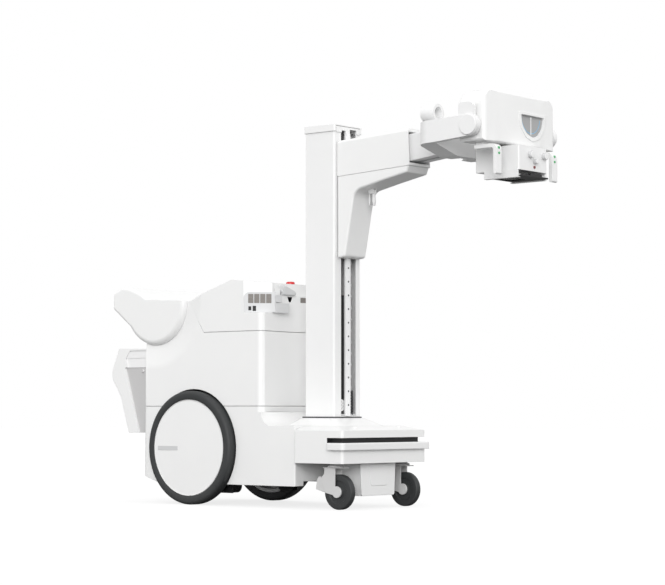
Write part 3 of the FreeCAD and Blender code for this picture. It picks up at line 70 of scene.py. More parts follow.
finishes = {
    "whiteCover": dict(color=(0.86, 0.86, 0.855), tint=(0.83, 0.832, 0.83), rough=(0.30, 0.42),
                       grain=900, bump=0.05, coat=0.2, edge=0.003),
    "whiteCoat": dict(color=(0.86, 0.86, 0.855), tint=(0.82, 0.822, 0.824), rough=(0.38, 0.52),
                      grain=1500, bump=0.10, coat=0.1, edge=0.0012),
    "lightCasting": dict(color=(0.85, 0.85, 0.848), tint=(0.81, 0.812, 0.814), rough=(0.36, 0.50),
                         grain=1300, bump=0.08, coat=0.15, edge=0.002),
    "railWhite": dict(color=(0.88, 0.88, 0.88), tint=(0.84, 0.84, 0.845), rough=(0.22, 0.34),
                      grain=700, bump=0.03, coat=0.3, edge=0.0006),
    "paleGrey": dict(color=(0.66, 0.665, 0.67), tint=(0.61, 0.615, 0.62), rough=(0.40, 0.55),
                     grain=1400, bump=0.10, edge=0.001),
    "bumperWhite": dict(color=(0.84, 0.84, 0.838), tint=(0.80, 0.80, 0.80), rough=(0.34, 0.48),
                        grain=1100, bump=0.08, coat=0.1, edge=0.006),
    "slotGrey": dict(color=(0.62, 0.62, 0.62), tint=(0.57, 0.57, 0.575), rough=(0.45, 0.60),
                     grain=1200, bump=0.10),
    "recessPale": dict(color=(0.86, 0.86, 0.86), tint=(0.83, 0.83, 0.83), rough=(0.40, 0.55),
                       grain=1100, bump=0.06),
    # grey of the bin's lower recess band: partly grey plastic, partly painted shade darker towards the
    # bottom
    "recessGrey": dict(color=(0.56, 0.555, 0.555), tint=(0.51, 0.505, 0.505), rough=(0.42, 0.58),
                       grain=1100, bump=0.08),
    "darkGrey": dict(color=(0.045, 0.045, 0.05), tint=(0.06, 0.06, 0.065), rough=(0.42, 0.60),
                     grain=1600, bump=0.12, edge=0.0008),
    # black for the black parts, and painted shade in the groove behind the bumper
    "blackCoat": dict(color=(0.006, 0.006, 0.007), tint=(0.012, 0.012, 0.013), rough=(0.45, 0.60),
                      grain=1400, bump=0.08, edge=0.0006),
    "tyreRubber": dict(color=(0.026, 0.028, 0.029), tint=(0.036, 0.038, 0.039), rough=(0.50, 0.72),
                       grain=700, bump=0.25),
    "casterTread": dict(color=(0.024, 0.026, 0.027), tint=(0.036, 0.038, 0.039), rough=(0.45, 0.65),
                        grain=900, bump=0.18),
    "groundSteel": dict(color=(0.56, 0.56, 0.57), tint=(0.44, 0.44, 0.45), rough=(0.24, 0.40),
                        grain=500, bump=0.05, metallic=1.0, stretch=(1, 1, 0.03), edge=0.0005),
    "castIron": dict(color=(0.09, 0.09, 0.095), tint=(0.05, 0.05, 0.05), rough=(0.55, 0.80),
                     grain=400, bump=0.3, metallic=0.6),
    "framePrimer": dict(color=(0.16, 0.165, 0.17), tint=(0.12, 0.125, 0.13), rough=(0.45, 0.65),
                        grain=900, bump=0.15, edge=0.001),
    "generatorGrey": dict(color=(0.36, 0.37, 0.38), tint=(0.30, 0.31, 0.32), rough=(0.35, 0.5),
                          grain=900, bump=0.1, metallic=0.7, edge=0.001),
    "casterGrey": dict(color=(0.66, 0.655, 0.65), tint=(0.60, 0.60, 0.60), rough=(0.35, 0.50),
                       grain=1200, bump=0.10, coat=0.1, edge=0.001),
    "screen": dict(color=(0.012, 0.014, 0.018), tint=(0.016, 0.018, 0.024), rough=(0.05, 0.12),
                   grain=60, coat=0.8, edge=0.001),
    "dialGrey": dict(color=(0.36, 0.36, 0.362), tint=(0.32, 0.322, 0.325), rough=(0.30, 0.42),
                     grain=900, bump=0.04, coat=0.4),
    "dialBlue": dict(color=(0.22, 0.50, 0.74), tint=(0.20, 0.46, 0.70), rough=(0.30, 0.42),
                     grain=900, bump=0.02, coat=0.3),
    "pointerWhite": dict(color=(0.86, 0.86, 0.86), tint=(0.82, 0.82, 0.82), rough=(0.28, 0.40),
                         grain=900, bump=0.03, coat=0.3, edge=0.0006),
    "louvreTan": dict(color=(0.30, 0.275, 0.255), tint=(0.25, 0.235, 0.22), rough=(0.45, 0.6),
                      grain=1200, bump=0.08),
    "keyGreen": dict(color=(0.03, 0.42, 0.12), tint=(0.02, 0.36, 0.10), rough=(0.30, 0.42),
                     grain=900, bump=0.03, coat=0.4, edge=0.0006),
    "keyRed": dict(color=(0.20, 0.008, 0.010), tint=(0.15, 0.007, 0.008), rough=(0.30, 0.42),
                   grain=900, bump=0.03, coat=0.4, edge=0.0006),
    "stopRed": dict(color=(0.62, 0.012, 0.015), tint=(0.54, 0.01, 0.012), rough=(0.26, 0.40),
                    grain=900, bump=0.03, coat=0.5, edge=0.001),
    "markGrey": dict(color=(0.62, 0.625, 0.63), tint=(0.58, 0.585, 0.59), rough=(0.4, 0.5),
                     grain=900, bump=0.02),
}
slotFinish = {  # the finish of each material slot in the record
    "white_cover": "whiteCover", "white_metal": "whiteCoat", "white_light_metal": "lightCasting",
    "pale_grey": "paleGrey", "dark_grey": "darkGrey", "black": "blackCoat", "tyre": "tyreRubber",
    "steel": "groundSteel", "iron": "castIron", "frame_grey": "framePrimer",
    "generator_grey": "generatorGrey", "caster_grey": "casterGrey", "caster_tread": "casterTread",
    "display": "screen", "window_grey": "dialGrey", "needle": "pointerWhite",
    "green": "keyGreen", "red": "keyRed", "stop_red": "stopRed",
}
noiseLook = {"fineDetail": 3, "broadScale": 7, "broadDetail": 4, "reliefHeight": 0.0004,
             "coatRoughness": 0.18, "edgeSamples": 6}


def makeFinish(name, color, tint, rough, grain, bump=0.0, coat=0.0, metallic=0.0,
               stretch=(1, 1, 1), edge=0.0):
    made = bpy.data.materials.new(name)
    made.use_nodes = True
    tree = made.node_tree
    link = tree.links.new
    shader = tree.nodes["Principled BSDF"]
    shader.inputs["Metallic"].default_value = metallic
    shader.inputs["Coat Weight"].default_value = coat
    shader.inputs["Coat Roughness"].default_value = noiseLook["coatRoughness"]
    coords = tree.nodes.new("ShaderNodeTexCoord")
    mapping = tree.nodes.new("ShaderNodeMapping")
    mapping.inputs["Scale"].default_value = stretch
    link(coords.outputs["Object"], mapping.inputs["Vector"])
    fine, broad = tree.nodes.new("ShaderNodeTexNoise"), tree.nodes.new("ShaderNodeTexNoise")
    for noise, scale, detail in ((fine, grain, noiseLook["fineDetail"]),
                                 (broad, noiseLook["broadScale"], noiseLook["broadDetail"])):
        noise.inputs["Scale"].default_value = scale
        noise.inputs["Detail"].default_value = detail
        link(mapping.outputs["Vector"], noise.inputs["Vector"])
    mix = tree.nodes.new("ShaderNodeMix")
    mix.data_type = "RGBA"
    mix.inputs["A"].default_value = (*color, 1)
    mix.inputs["B"].default_value = (*tint, 1)
    link(broad.outputs["Fac"], mix.inputs["Factor"])
    link(mix.outputs["Result"], shader.inputs["Base Color"])
    spread = tree.nodes.new("ShaderNodeMapRange")
    spread.inputs["To Min"].default_value, spread.inputs["To Max"].default_value = rough
    link(fine.outputs["Fac"], spread.inputs["Value"])
    link(spread.outputs["Result"], shader.inputs["Roughness"])
    if bump:
        relief = tree.nodes.new("ShaderNodeBump")
        relief.inputs["Strength"].default_value = bump
        relief.inputs["Distance"].default_value = noiseLook["reliefHeight"]
        link(fine.outputs["Fac"], relief.inputs["Height"])
        link(relief.outputs["Normal"], shader.inputs["Normal"])
    if edge:
        rounded = tree.nodes.new("ShaderNodeBevel")
        rounded.samples = noiseLook["edgeSamples"]
        rounded.inputs["Radius"].default_value = edge
        link(rounded.outputs["Normal"], relief.inputs["Normal"] if bump else shader.inputs["Normal"])
    return made


material = {name: makeFinish(name, **settings) for name, settings in finishes.items()}
print("finishes made:", len(material))


# Helpers for pieces

flatDegrees = 0.7  # neighbouring faces that turn less than this are one flat region
creaseDegrees = 35  # edges of own pieces that turn more than this stay sharp, or get their bevel
cadMerge = 0.00002  # how near corners have to be to become one, in the CAD meshes and in own pieces
ownMerge = 0.000001
anywhere = (-9, 9)  # a range that leaves nothing out


def newPiece(name, mesh, body, finish, replaces=(), smooth=creaseDegrees):
    mesh.polygons.foreach_set("use_smooth", [True] * len(mesh.polygons))
    mesh.set_sharp_from_angle(angle=math.radians(smooth))
    piece = bpy.data.objects.new(name, mesh)
    bpy.context.scene.collection.objects.link(piece)
    if finish:
        mesh.materials.clear()
        mesh.materials.append(material[finish])
    if replaces:
        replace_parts(piece, *replaces)
    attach(piece, body)
    return piece


def camelName(node):
    words = node.split("_")
    return words[0] + "".join(w.capitalize() for w in words[1:]) + ("Skin" if len(words) == 1 else "")


def mergedCopy(node):  # the CAD mesh with its loose triangles joined
    bm = bmesh.new()
    bm.from_mesh(nodes[node].data)
    bmesh.ops.remove_doubles(bm, verts=bm.verts, dist=cadMerge)
    mesh = bpy.data.meshes.new(camelName(node))
    bm.to_mesh(mesh)
    bm.free()
    return mesh


def regionAreas(bm):  # for every face, the area of the flat region that it belongs to
    level = math.cos(math.radians(flatDegrees))
    areas, taken = [0.0] * len(bm.faces), [False] * len(bm.faces)
    for seed in bm.faces:
        if taken[seed.index]:
            continue
        members, waiting = [], [seed]
        taken[seed.index] = True
        while waiting:
            face = waiting.pop()
            members.append(face)
            for edge in face.edges:
                for other in edge.link_faces:
                    if not taken[other.index] and seed.normal.dot(other.normal) > level:
                        taken[other.index] = True
                        waiting.append(other)
        total = sum(face.calc_area() for face in members)
        for face in members:
            areas[face.index] = total
    return areas


def evenNormals(mesh, degrees):
    # a flat region counts with its whole area, so it keeps one tone up to its rounded edges
    bm = bmesh.new()
    bm.from_mesh(mesh)
    limit, areas = math.radians(degrees), regionAreas(bm)
    normals = [None] * len(mesh.loops)
    for vert in bm.verts:
        corners = {loop.face.index: loop for loop in vert.link_loops}
        while corners:
            first = corners.popitem()[1]
            fan, waiting, total = [], [first], Vector()
            while waiting:
                corner = waiting.pop()
                fan.append(corner)
                total += corner.face.normal * areas[corner.face.index] * corner.calc_angle()
                for edge in (corner.edge, corner.link_loop_prev.edge):
                    for other in edge.link_faces:
                        if other.index in corners and corner.face.normal.angle(other.normal, 0.0) < limit:
                            waiting.append(corners.pop(other.index))
            direction = total.normalized() if total.length else first.face.normal.copy()
            for corner in fan:
                normals[corner.index] = direction
    bm.free()
    mesh.normals_split_custom_set(normals)


def dress(node, finish=None, smooth=32):  # the node's own shape in its finish
    finish = finish or slotFinish[slotOf[node]]
    piece = newPiece(camelName(node), mergedCopy(node), bodyOf[node], finish, (node,), smooth)
    evenNormals(piece.data, smooth)
    return piece


def zone(x=anywhere, y=anywhere, z=anywhere, side=anywhere, facing=None):
    # a test for faces: ranges from the rear axle, side is how far from the middle plane on either side
    def inside(middle, normal):
        ranges = ((middle.x + originX, x), (middle.y, y), (middle.z, z), (abs(middle.y), side))
        within = all(low < value < high for value, (low, high) in ranges)
        return within and (facing is None or facing(normal))
    return inside


def paint(piece, finish, inside):  # the faces that pass the test get another finish
    mesh = piece.data
    mesh.materials.append(material[finish])
    for face in mesh.polygons:
        if inside(face.center, face.normal):
            face.material_index = len(mesh.materials) - 1


def softened(piece, width, segments=3):
    edge = piece.modifiers.new("softEdge", "BEVEL")
    edge.width, edge.segments = width, segments
    edge.limit_method, edge.angle_limit = "ANGLE", math.radians(creaseDegrees)
    return piece


# Helpers for outlines and solids

def roundedOutline(points, steps=6):  # (u, v, radius) corners in order round the outline
    outline, n = [], len(points)
    longest = 0.49  # of an edge, the most that one rounding takes
    for i, (u, v, radius) in enumerate(points):
        corner = Vector((u, v))
        before = Vector(points[i - 1][:2]) - corner
        after = Vector(points[(i + 1) % n][:2]) - corner
        if radius <= 0:
            outline.append(corner)
            continue
        angle = before.angle(after)
        reach = min(radius / math.tan(angle / 2), before.length * longest, after.length * longest)
        radius = reach * math.tan(angle / 2)
        start, end = corner + before.normalized() * reach, corner + after.normalized() * reach
        inward = (before.normalized() + after.normalized()).normalized()
        centre = corner + inward * (radius / math.sin(angle / 2))
        for k in range(steps + 1):
            spoke = start.lerp(end, k / steps) - centre
            outline.append(centre + spoke.normalized() * radius)
    return outline


def rectangle(u0, v0, u1, v1, radius):
    return roundedOutline([(u0, v0, radius), (u1, v0, radius), (u1, v1, radius), (u0, v1, radius)])


def arcPoints(cu, cv, radius, start, end, count):  # angles in degrees
    points = []
    for i in range(count):
        a = math.radians(start + (end - start) * i / (count - 1))
        points.append((cu + radius * math.cos(a), cv + radius * math.sin(a)))
    return points


def tidied(mesh):
    bm = bmesh.new()
    bm.from_mesh(mesh)
    bmesh.ops.remove_doubles(bm, verts=bm.verts, dist=ownMerge)
    bmesh.ops.recalc_face_normals(bm, faces=bm.faces)
    bm.to_mesh(mesh)
    bm.free()
    return mesh


def prism(outline, across, low, high):  # the outline pushed along the axis that across names
    order = {"x": lambda u, v, w: place(w, u, v), "y": lambda u, v, w: place(u, w, v),
             "z": lambda u, v, w: place(u, v, w)}[across]
    n = len(outline)
    mesh = bpy.data.meshes.new("prism")
    verts = [order(p[0], p[1], w) for w in (low, high) for p in outline]
    faces = [tuple(range(n)), tuple(range(n, 2 * n))]
    faces += [(i, (i + 1) % n, n + (i + 1) % n, n + i) for i in range(n)]
    mesh.from_pydata(verts, [], faces)
    return tidied(mesh)


def lathe(profile, centre, axis, steps):  # profile: (distance along the axis, radius) pairs
    mesh = bpy.data.meshes.new("lathe")
    turn = axis.to_track_quat("Z", "X").to_matrix()
    verts, faces, n = [], [], len(profile)
    ring = profile[0][1] > 0  # a profile that starts away from the axis runs round to its start
    for i in range(steps):
        a = 2 * math.pi * i / steps
        for along, radius in profile:
            verts.append(centre + turn @ Vector((radius * math.cos(a), radius * math.sin(a), along)))
    for i in range(steps):
        j = (i + 1) % steps
        for k in range(n if ring else n - 1):
            m = (k + 1) % n
            faces.append((i * n + k, i * n + m, j * n + m, j * n + k))
    mesh.from_pydata(verts, [], faces)
    return tidied(mesh)


def joined(name, meshes):  # several closed forms in one mesh
    bm = bmesh.new()
    for mesh in meshes:
        bm.from_mesh(mesh)
        bpy.data.meshes.remove(mesh)
    mesh = bpy.data.meshes.new(name)
    bm.to_mesh(mesh)
    bm.free()
    return mesh


def atOrigin(mesh):  # a prism drawn around 0 goes back from the rear axle to the origin
    mesh.transform(Matrix.Translation((originX, 0, 0)))
    return mesh


def socketInput(group, name):
    return next(item.identifier for item in group.interface.items_tree if item.name == name)


def repeated(name, unit, body, finish, start, step, count):
    # Geometry Nodes repeat the unit along a straight line, and the result is one plain mesh
    group = bpy.data.node_groups.new(name + "Array", "GeometryNodeTree")
    for label, kind in (("Geometry", "Geometry"), ("Count", "Int"), ("Start", "Vector"), ("Step", "Vector"),
                        ("Finish", "Material")):
        group.interface.new_socket(label, in_out="INPUT", socket_type="NodeSocket" + kind)
    group.interface.new_socket("Geometry", in_out="OUTPUT", socket_type="NodeSocketGeometry")
    add, link = group.nodes.new, group.links.new
    entry, leave = add("NodeGroupInput"), add("NodeGroupOutput")
    line, copies = add("GeometryNodeMeshLine"), add("GeometryNodeInstanceOnPoints")
    real, dressed = add("GeometryNodeRealizeInstances"), add("GeometryNodeSetMaterial")
    line.mode = "OFFSET"
    link(entry.outputs["Count"], line.inputs["Count"])
    link(entry.outputs["Start"], line.inputs["Start Location"])
    link(entry.outputs["Step"], line.inputs["Offset"])
    link(line.outputs["Mesh"], copies.inputs["Points"])
    link(entry.outputs["Geometry"], copies.inputs["Instance"])
    link(copies.outputs["Instances"], real.inputs["Geometry"])
    link(real.outputs["Geometry"], dressed.inputs["Geometry"])
    link(entry.outputs["Finish"], dressed.inputs["Material"])
    link(dressed.outputs["Geometry"], leave.inputs["Geometry"])
    holder = bpy.data.objects.new(name + "Unit", unit)
    bpy.context.scene.collection.objects.link(holder)
    array = holder.modifiers.new("array", "NODES")
    array.node_group = group
    for label, value in (("Count", count), ("Start", start), ("Step", step), ("Finish", material[finish])):
        array[socketInput(group, label)] = value
    graph = bpy.context.evaluated_depsgraph_get()
    mesh = bpy.data.meshes.new_from_object(holder.evaluated_get(graph))
    bpy.data.objects.remove(holder)
    mesh.name = name
    return newPiece(name, mesh, body, None)


# Rear wheels: tyre, dished disc and the grey strip on it

rearWheel = {
    "radius": 0.254, "rim": 0.216, "face": 0.303, "width": 0.060, "shoulder": 0.015, "steps": 160,
    "discGap": 0.0006, "discRound": 0.005,
    "dish": [(0.003, 0.0), (0.0035, 0.10), (0.0045, 0.17)],  # distance in from the outer face, and radius
    "bore": [(0.006, 0.036), (0.002, 0.030), (0.002, 0.0)],  # distance out from the inner face, and radius
    "markX": -0.129, "markBelow": 0.003, "markLength": 0.124, "markHeight": 0.019, "markThick": 0.001,
    "markSunk": 0.0034, "markRound": 0.003,
}


def makeRearWheel(side, name):
    w = rearWheel
    title, body = name.capitalize(), "rear_wheel_" + name
    centre, axis = place(0, 0, w["radius"]), Vector((0, side, 0))
    outer, inner, s = w["face"], w["face"] - w["width"], w["shoulder"]
    tread = [(inner + 0.001, w["rim"])]  # from the inner bead over both shoulders to the outer bead
    tread += arcPoints(inner + s, w["radius"] - s, s, 180, 90, 10)
    tread += arcPoints(outer - s, w["radius"] - s, s, 90, 0, 10)
    tread += [(outer, w["rim"] + 0.003), (outer - 0.002, w["rim"])]
    newPiece("rearTyre" + title, lathe(tread, centre, axis, w["steps"]), body, "tyreRubber",
             ("rear_tyre_" + name,), smooth=50)
    r, bend = w["rim"] - w["discGap"], w["discRound"]
    disc = [(outer - depth, radius) for depth, radius in w["dish"]] + [(outer - 0.004, r - 0.012)]
    disc += arcPoints(outer - 0.006, r - bend, bend, 70, 30, 4)  # the rounded lip
    disc += [(outer - 0.008, r), (inner + 0.004, r), (inner + 0.004, r - 0.016)]  # the seat in the tyre
    disc += [(outer - 0.012, r - 0.018), (outer - 0.014, 0.05)]  # the hollow inner side
    disc += [(inner + depth, radius) for depth, radius in w["bore"]]
    newPiece("rearHub" + title, lathe(disc, centre, axis, w["steps"]), body, "whiteCover",
             ("rear_hub_" + name,), smooth=40)
    x, y, z = w["markX"], side * (outer - w["markSunk"]), w["radius"] - w["markBelow"]
    long, high = w["markLength"] / 2, w["markHeight"] / 2
    outline = rectangle(x - long, z - high, x + long, z + high, w["markRound"])
    strip = prism(outline, "y", y, y + side * w["markThick"])
    newPiece("hubMark" + title, strip, body, "markGrey")


makeRearWheel(-1, "right")
makeRearWheel(1, "left")
print("rear wheels made")


# Casters: fork with its swivel bearing, brake pedal and wheel. Their outlines are (x, z, corner radius)

caster = {
    "y": 0.2235, "axleX": 0.824, "radius": 0.075, "swivelX": 0.802,
    "cheekInside": 0.020, "cheekThick": 0.004, "forkEdge": 0.0008,
    "cheek": [(0.7575, 0.178, 0.002), (0.8160, 0.178, 0.002), (0.8155, 0.078, 0.004),
              (0.8040, 0.062, 0.004), (0.7600, 0.071, 0.004), (0.7440, 0.110, 0.003),
              (0.7440, 0.137, 0.004), (0.7545, 0.152, 0.006)],
    "capSunk": 0.0025, "capSteps": 48,
    "cap": [(0.0, 0.0), (0.0, 0.0245), (0.006, 0.0245), (0.0075, 0.023), (0.0075, 0.0)],
    "plateX": (0.7475, 0.8530), "plateHalf": 0.026, "plateRound": 0.006, "plateZ": (0.1755, 0.1795),
    "bearingZ": 0.1797, "stemZ": 0.1880, "bearingSteps": 64,
    "bearing": [(0.0, 0.0), (0.0, 0.034), (0.004, 0.0365), (0.008, 0.034), (0.008, 0.0)],
    "stem": [(0.0, 0.0), (0.0, 0.027), (0.0065, 0.027), (0.0065, 0.0)],
    "pedalHalf": 0.0195, "pedalEdge": 0.0012,
    "pedal": [(0.7050, 0.0850, 0.003), (0.7120, 0.1280, 0.003), (0.7235, 0.1400, 0.004),
              (0.7400, 0.1375, 0.002), (0.7440, 0.1180, 0.002), (0.7560, 0.0720, 0.003)],
    "wheelHalf": 0.015, "wheelRound": 0.006, "wheelSteps": 96,
    "wheelSide": [(-0.015, 0.0), (-0.015, 0.024), (-0.011, 0.027), (-0.011, 0.046), (-0.015, 0.050)],
}


def makeCaster(side, name):
    c = caster
    title, y = name.capitalize(), side * c["y"]
    cheekOutline, parts = roundedOutline(c["cheek"]), []
    for s in (-1, 1):
        near, far = sorted((y + s * c["cheekInside"], y + s * (c["cheekInside"] + c["cheekThick"])))
        parts.append(prism(cheekOutline, "y", near, far))
        capPlace = place(c["axleX"], y + s * (c["cheekInside"] - c["capSunk"]), c["radius"])
        parts.append(lathe(c["cap"], capPlace, Vector((0, s, 0)), c["capSteps"]))
    back, front = c["plateX"]
    plate = rectangle(back, y - c["plateHalf"], front, y + c["plateHalf"], c["plateRound"])
    parts.append(prism(plate, "z", *c["plateZ"]))
    for profile, z in ((c["bearing"], c["bearingZ"]), (c["stem"], c["stemZ"])):
        parts.append(lathe(profile, place(c["swivelX"], y, z), Vector((0, 0, 1)), c["bearingSteps"]))
    fork = newPiece("casterFork" + title, joined("fork", parts), "caster_" + name, "casterGrey",
                    ("caster_fork_" + name,))
    softened(fork, c["forkEdge"], 2)
    foot = prism(roundedOutline(c["pedal"]), "y", y - c["pedalHalf"], y + c["pedalHalf"])
    pedal = newPiece("casterPedal" + title, foot, "pedal_" + name, "casterGrey", ("caster_pedal_" + name,))
    softened(pedal, c["pedalEdge"], 2)
    bend = c["wheelRound"]
    half = c["wheelSide"] + arcPoints(bend - c["wheelHalf"], c["radius"] - bend, bend, 180, 90, 6)
    profile = half + [(-along, radius) for along, radius in reversed(half)]
    wheel = lathe(profile, place(c["axleX"], y, c["radius"]), Vector((0, 1, 0)), c["wheelSteps"])
    newPiece("casterWheel" + title, wheel, "front_wheel_" + name, "casterTread",
             ("caster_wheel_" + name,), smooth=30)


makeCaster(-1, "right")
makeCaster(1, "left")
print("casters made")


# Box between the casters: its back slopes up behind the front wall, which has a raised pad

frontBox = {
    "front": 0.853, "wallBack": 0.845, "wallFront": 0.851, "low": 0.0545, "top": 0.1965,
    "half": 0.1085, "bottomLength": 0.034, "topLength": 0.140, "backHeight": 0.02,
    "wallTopHalf": 0.1195, "wallLowHalf": 0.1110, "bottomRound": 0.006, "padSunk": 0.0002, "edge": 0.0015,
    "pad": [(-0.064, 0.190, 0.004), (-0.052, 0.097, 0.014), (0.062, 0.097, 0.014), (0.074, 0.190, 0.004)],
}


def makeFrontBox():
    b = frontBox
    x, low, top = b["wallBack"], b["low"], b["top"]
    rear, bend = x - b["topLength"], b["bottomRound"]
    back = roundedOutline([(x - b["bottomLength"], low, bend), (x, low, bend), (x, top, 0.0),
                           (rear, top, 0.0), (rear, top - b["backHeight"], 0.004)])
    wall = roundedOutline([(-b["wallTopHalf"], top, 0.002), (-b["wallLowHalf"], low, 0.010),
                           (b["wallLowHalf"], low, 0.010), (b["wallTopHalf"], top, 0.002)])
    parts = [prism(back, "y", -b["half"], b["half"]),
             prism(wall, "x", x, b["wallFront"]),
             prism(roundedOutline(b["pad"]), "x", b["wallFront"] - b["padSunk"], b["front"])]
    box = newPiece("frontBox", joined("frontBox", parts), "trolley", "whiteCover", ("front_box",))
    softened(box, b["edge"])


makeFrontBox()
print("front box made")


# Guide rail of the column with its screws

rail = {
    "x": 0.678, "high": 0.008, "y": -0.002, "wide": 0.027, "low": 0.395, "top": 1.6388, "chamfer": 0.0005,
    "side": [(0.0, 0.0), (0.0028, 0.0), (0.0038, 0.002), (0.0048, 0.002), (0.0058, 0.0)],  # height, depth
    "screwFirst": 0.444, "screwPitch": 0.060, "screwCount": 20, "screwRadius": 0.0042,
    "screwHigh": 0.0010, "screwSunk": 0.0004, "screwSteps": 24,
    "hollowHigh": 0.0006, "hollowLow": 0.5, "hollowTop": 0.55,  # the last two: shares of the radius
}


def makeRail():
    r = rail
    w, back = r["wide"] / 2, r["x"] + 0.0001
    half = [(back + height, w - depth) for height, depth in r["side"]]
    half.append((r["x"] + r["high"], w - r["chamfer"]))
    outline = [(x, r["y"] - y) for x, y in half] + [(x, r["y"] + y) for x, y in reversed(half)]
    bar = prism(outline, "z", r["low"], r["top"])
    newPiece("linearRail", bar, "column", "railWhite", ("linear_rail",))


def makeScrews():
    r = rail
    radius, hollow, high = r["screwRadius"], r["hollowHigh"], r["screwHigh"]
    head = [(0.0, 0.0), (hollow, 0.0), (hollow, radius * r["hollowLow"]), (high, radius * r["hollowTop"])]
    head += [(high, radius), (0.0, radius)]
    unit = lathe(head, Vector((0, 0, 0)), Vector((1, 0, 0)), r["screwSteps"])
    start = place(r["x"] + r["high"] - r["screwSunk"], r["y"], r["screwFirst"])
    repeated("railScrews", unit, "column", "darkGrey", start,
             (0, 0, r["screwPitch"]), r["screwCount"])


makeRail()
makeScrews()
print("rail and screws made")


# Chain low in the slot beside the rail

chain = {"x": 0.668, "y": 0.036, "first": 0.410, "pitch": 0.0127, "count": 8, "wide": 0.018,
         "plateHalf": 0.004, "plateReach": 0.75, "plateRound": 0.0035, "plateThick": 0.0022,
         "pin": 0.0032, "pinShort": 0.0025, "pinSteps": 20}


def makeChain():
    c = chain
    w, high, wide = c["wide"] / 2, c["pitch"] * c["plateReach"], c["plateHalf"]
    plate = rectangle(-wide, -high, wide, high, c["plateRound"])
    spans = ((-w, -w + c["plateThick"]), (w - c["plateThick"], w))
    unit = [atOrigin(prism(plate, "y", low, top)) for low, top in spans]
    end = w - c["pinShort"]
    pin = [(-end, 0.0), (-end, c["pin"]), (end, c["pin"]), (end, 0.0)]
    unit.append(lathe(pin, Vector((0, 0, 0)), Vector((0, 1, 0)), c["pinSteps"]))
    repeated("chainLinks", joined("link", unit), "column", "darkGrey", place(c["x"], c["y"], c["first"]),
             (0, 0, c["pitch"]), c["count"])


makeChain()
print("chain made")


# Angle window: the blue scale arc behind the pointer

dial = {"x": 1.6052, "y": 0.075, "z": 1.630, "radius": 0.066, "half": 0.0014, "thick": 0.0005,
        "start": 184, "sweep": 172, "steps": 48}


def makeDialArc():
    d = dial
    verts, faces, n = [], [], d["steps"]
    for i in range(n + 1):
        a = math.radians(d["start"] + d["sweep"] * i / n)
        for r in (d["radius"] - d["half"], d["radius"] + d["half"]):
            for x in (d["x"], d["x"] + d["thick"]):
                verts.append(place(x, d["y"] + r * math.cos(a), d["z"] + r * math.sin(a)))
    for i in range(n):
        k, m = 4 * i, 4 * i + 4
        faces += [(k, k + 1, m + 1, m), (k + 2, k + 3, m + 3, m + 2)]
        faces += [(k, k + 2, m + 2, m), (k + 1, k + 3, m + 3, m + 1)]
    faces += [(0, 1, 3, 2), (4 * n, 4 * n + 1, 4 * n + 3, 4 * n + 2)]
    mesh = bpy.data.meshes.new("dialArc")
    mesh.from_pydata(verts, [], faces)
    newPiece("dialArc", tidied(mesh), "tube_head", "dialBlue")


makeDialArc()
print("dial made")


# Lock lever under the arm: two prongs on one eye, and the grey pawl on its near side. Outlines as above

lever = {
    "half": 0.005, "edge": 0.0008, "pawlOuter": 0.0066, "pawlInner": 0.0051,
    "blade": [(0.8085, 1.379, 0.004), (0.8315, 1.379, 0.004), (0.8375, 1.330, 0.006),
              (0.8335, 1.3085, 0.005), (0.8235, 1.3120, 0.002), (0.8205, 1.345, 0.001),
              (0.8175, 1.312, 0.002), (0.8055, 1.3135, 0.005), (0.8035, 1.336, 0.006)],
    "pawl": [(0.8115, 1.372, 0.002), (0.8250, 1.372, 0.002), (0.8235, 1.330, 0.002),
             (0.8290, 1.3105, 0.002), (0.8110, 1.3105, 0.002), (0.8145, 1.330, 0.002)],
}


def makeLever():
    v = lever
    blade = prism(roundedOutline(v["blade"], 5), "y", -v["half"], v["half"])
    piece = newPiece("armLockLever", blade, "lock_lever", "pointerWhite", ("arm_lock_lever",))
    softened(piece, v["edge"], 2)
    pawl = prism(roundedOutline(v["pawl"]), "y", -v["pawlOuter"], -v["pawlInner"])
    newPiece("leverPawl", pawl, "lock_lever", "dialGrey")


makeLever()
print("lever made")


# Collimator knobs: a grey ribbed grip with a pale face

knobs = {
    "x": 1.668, "back": 0.0005, "chamfer": 0.001, "length": 0.017, "edge": 0.002,
    "ribs": 24, "stepsPerRib": 4, "ribDepth": 0.0006, "ribRim": 0.0005,
    "places": {"knob_right": (-0.023, 1.463, 0.0150), "knob_left": (0.076, 1.464, 0.0150),
               "knob_centre": (0.009, 1.436, 0.0100)},  # y, z and radius
}


def makeKnob(node, y, z, radius):
    k = knobs
    centre, edge = place(k["x"], y, z), k["edge"]
    grip = [(k["back"], 0.0), (k["back"], radius - k["chamfer"]), (k["back"] + k["chamfer"], radius)]
    grip += arcPoints(k["length"] - edge, radius - edge, edge, 90, 0, 5) + [(k["length"], 0.0)]
    mesh = lathe(grip, centre, Vector((1, 0, 0)), k["ribs"] * k["stepsPerRib"])
    for v in mesh.vertices:
        out = Vector((0, v.co.y - centre.y, v.co.z - centre.z))
        if out.length > radius - k["ribRim"]:
            wave = math.cos(math.atan2(out.z, out.y) * k["ribs"])
            v.co -= out.normalized() * k["ribDepth"] * (0.5 + 0.5 * wave)
    piece = newPiece(camelName(node), mesh, bodyOf[node], "paleGrey", (node,), smooth=40)
    paint(piece, "lightCasting", zone(facing=lambda n: n.x > 0.9))


for node, (y, z, radius) in knobs["places"].items():
    makeKnob(node, y, z, radius)
print("knobs made")


# Slats in the small opening of the console's front, on a plate that leans with that front

slats = {
    "x": 0.3724, "lean": 0.0625, "near": 0.0325, "far": 0.0715, "low": 0.9035, "high": 0.9255,
    "plateThick": 0.001, "plateOver": 0.0003,
    "first": 0.0345, "pitch": 0.0052, "wide": 0.0036, "depth": 0.003, "count": 7,
}


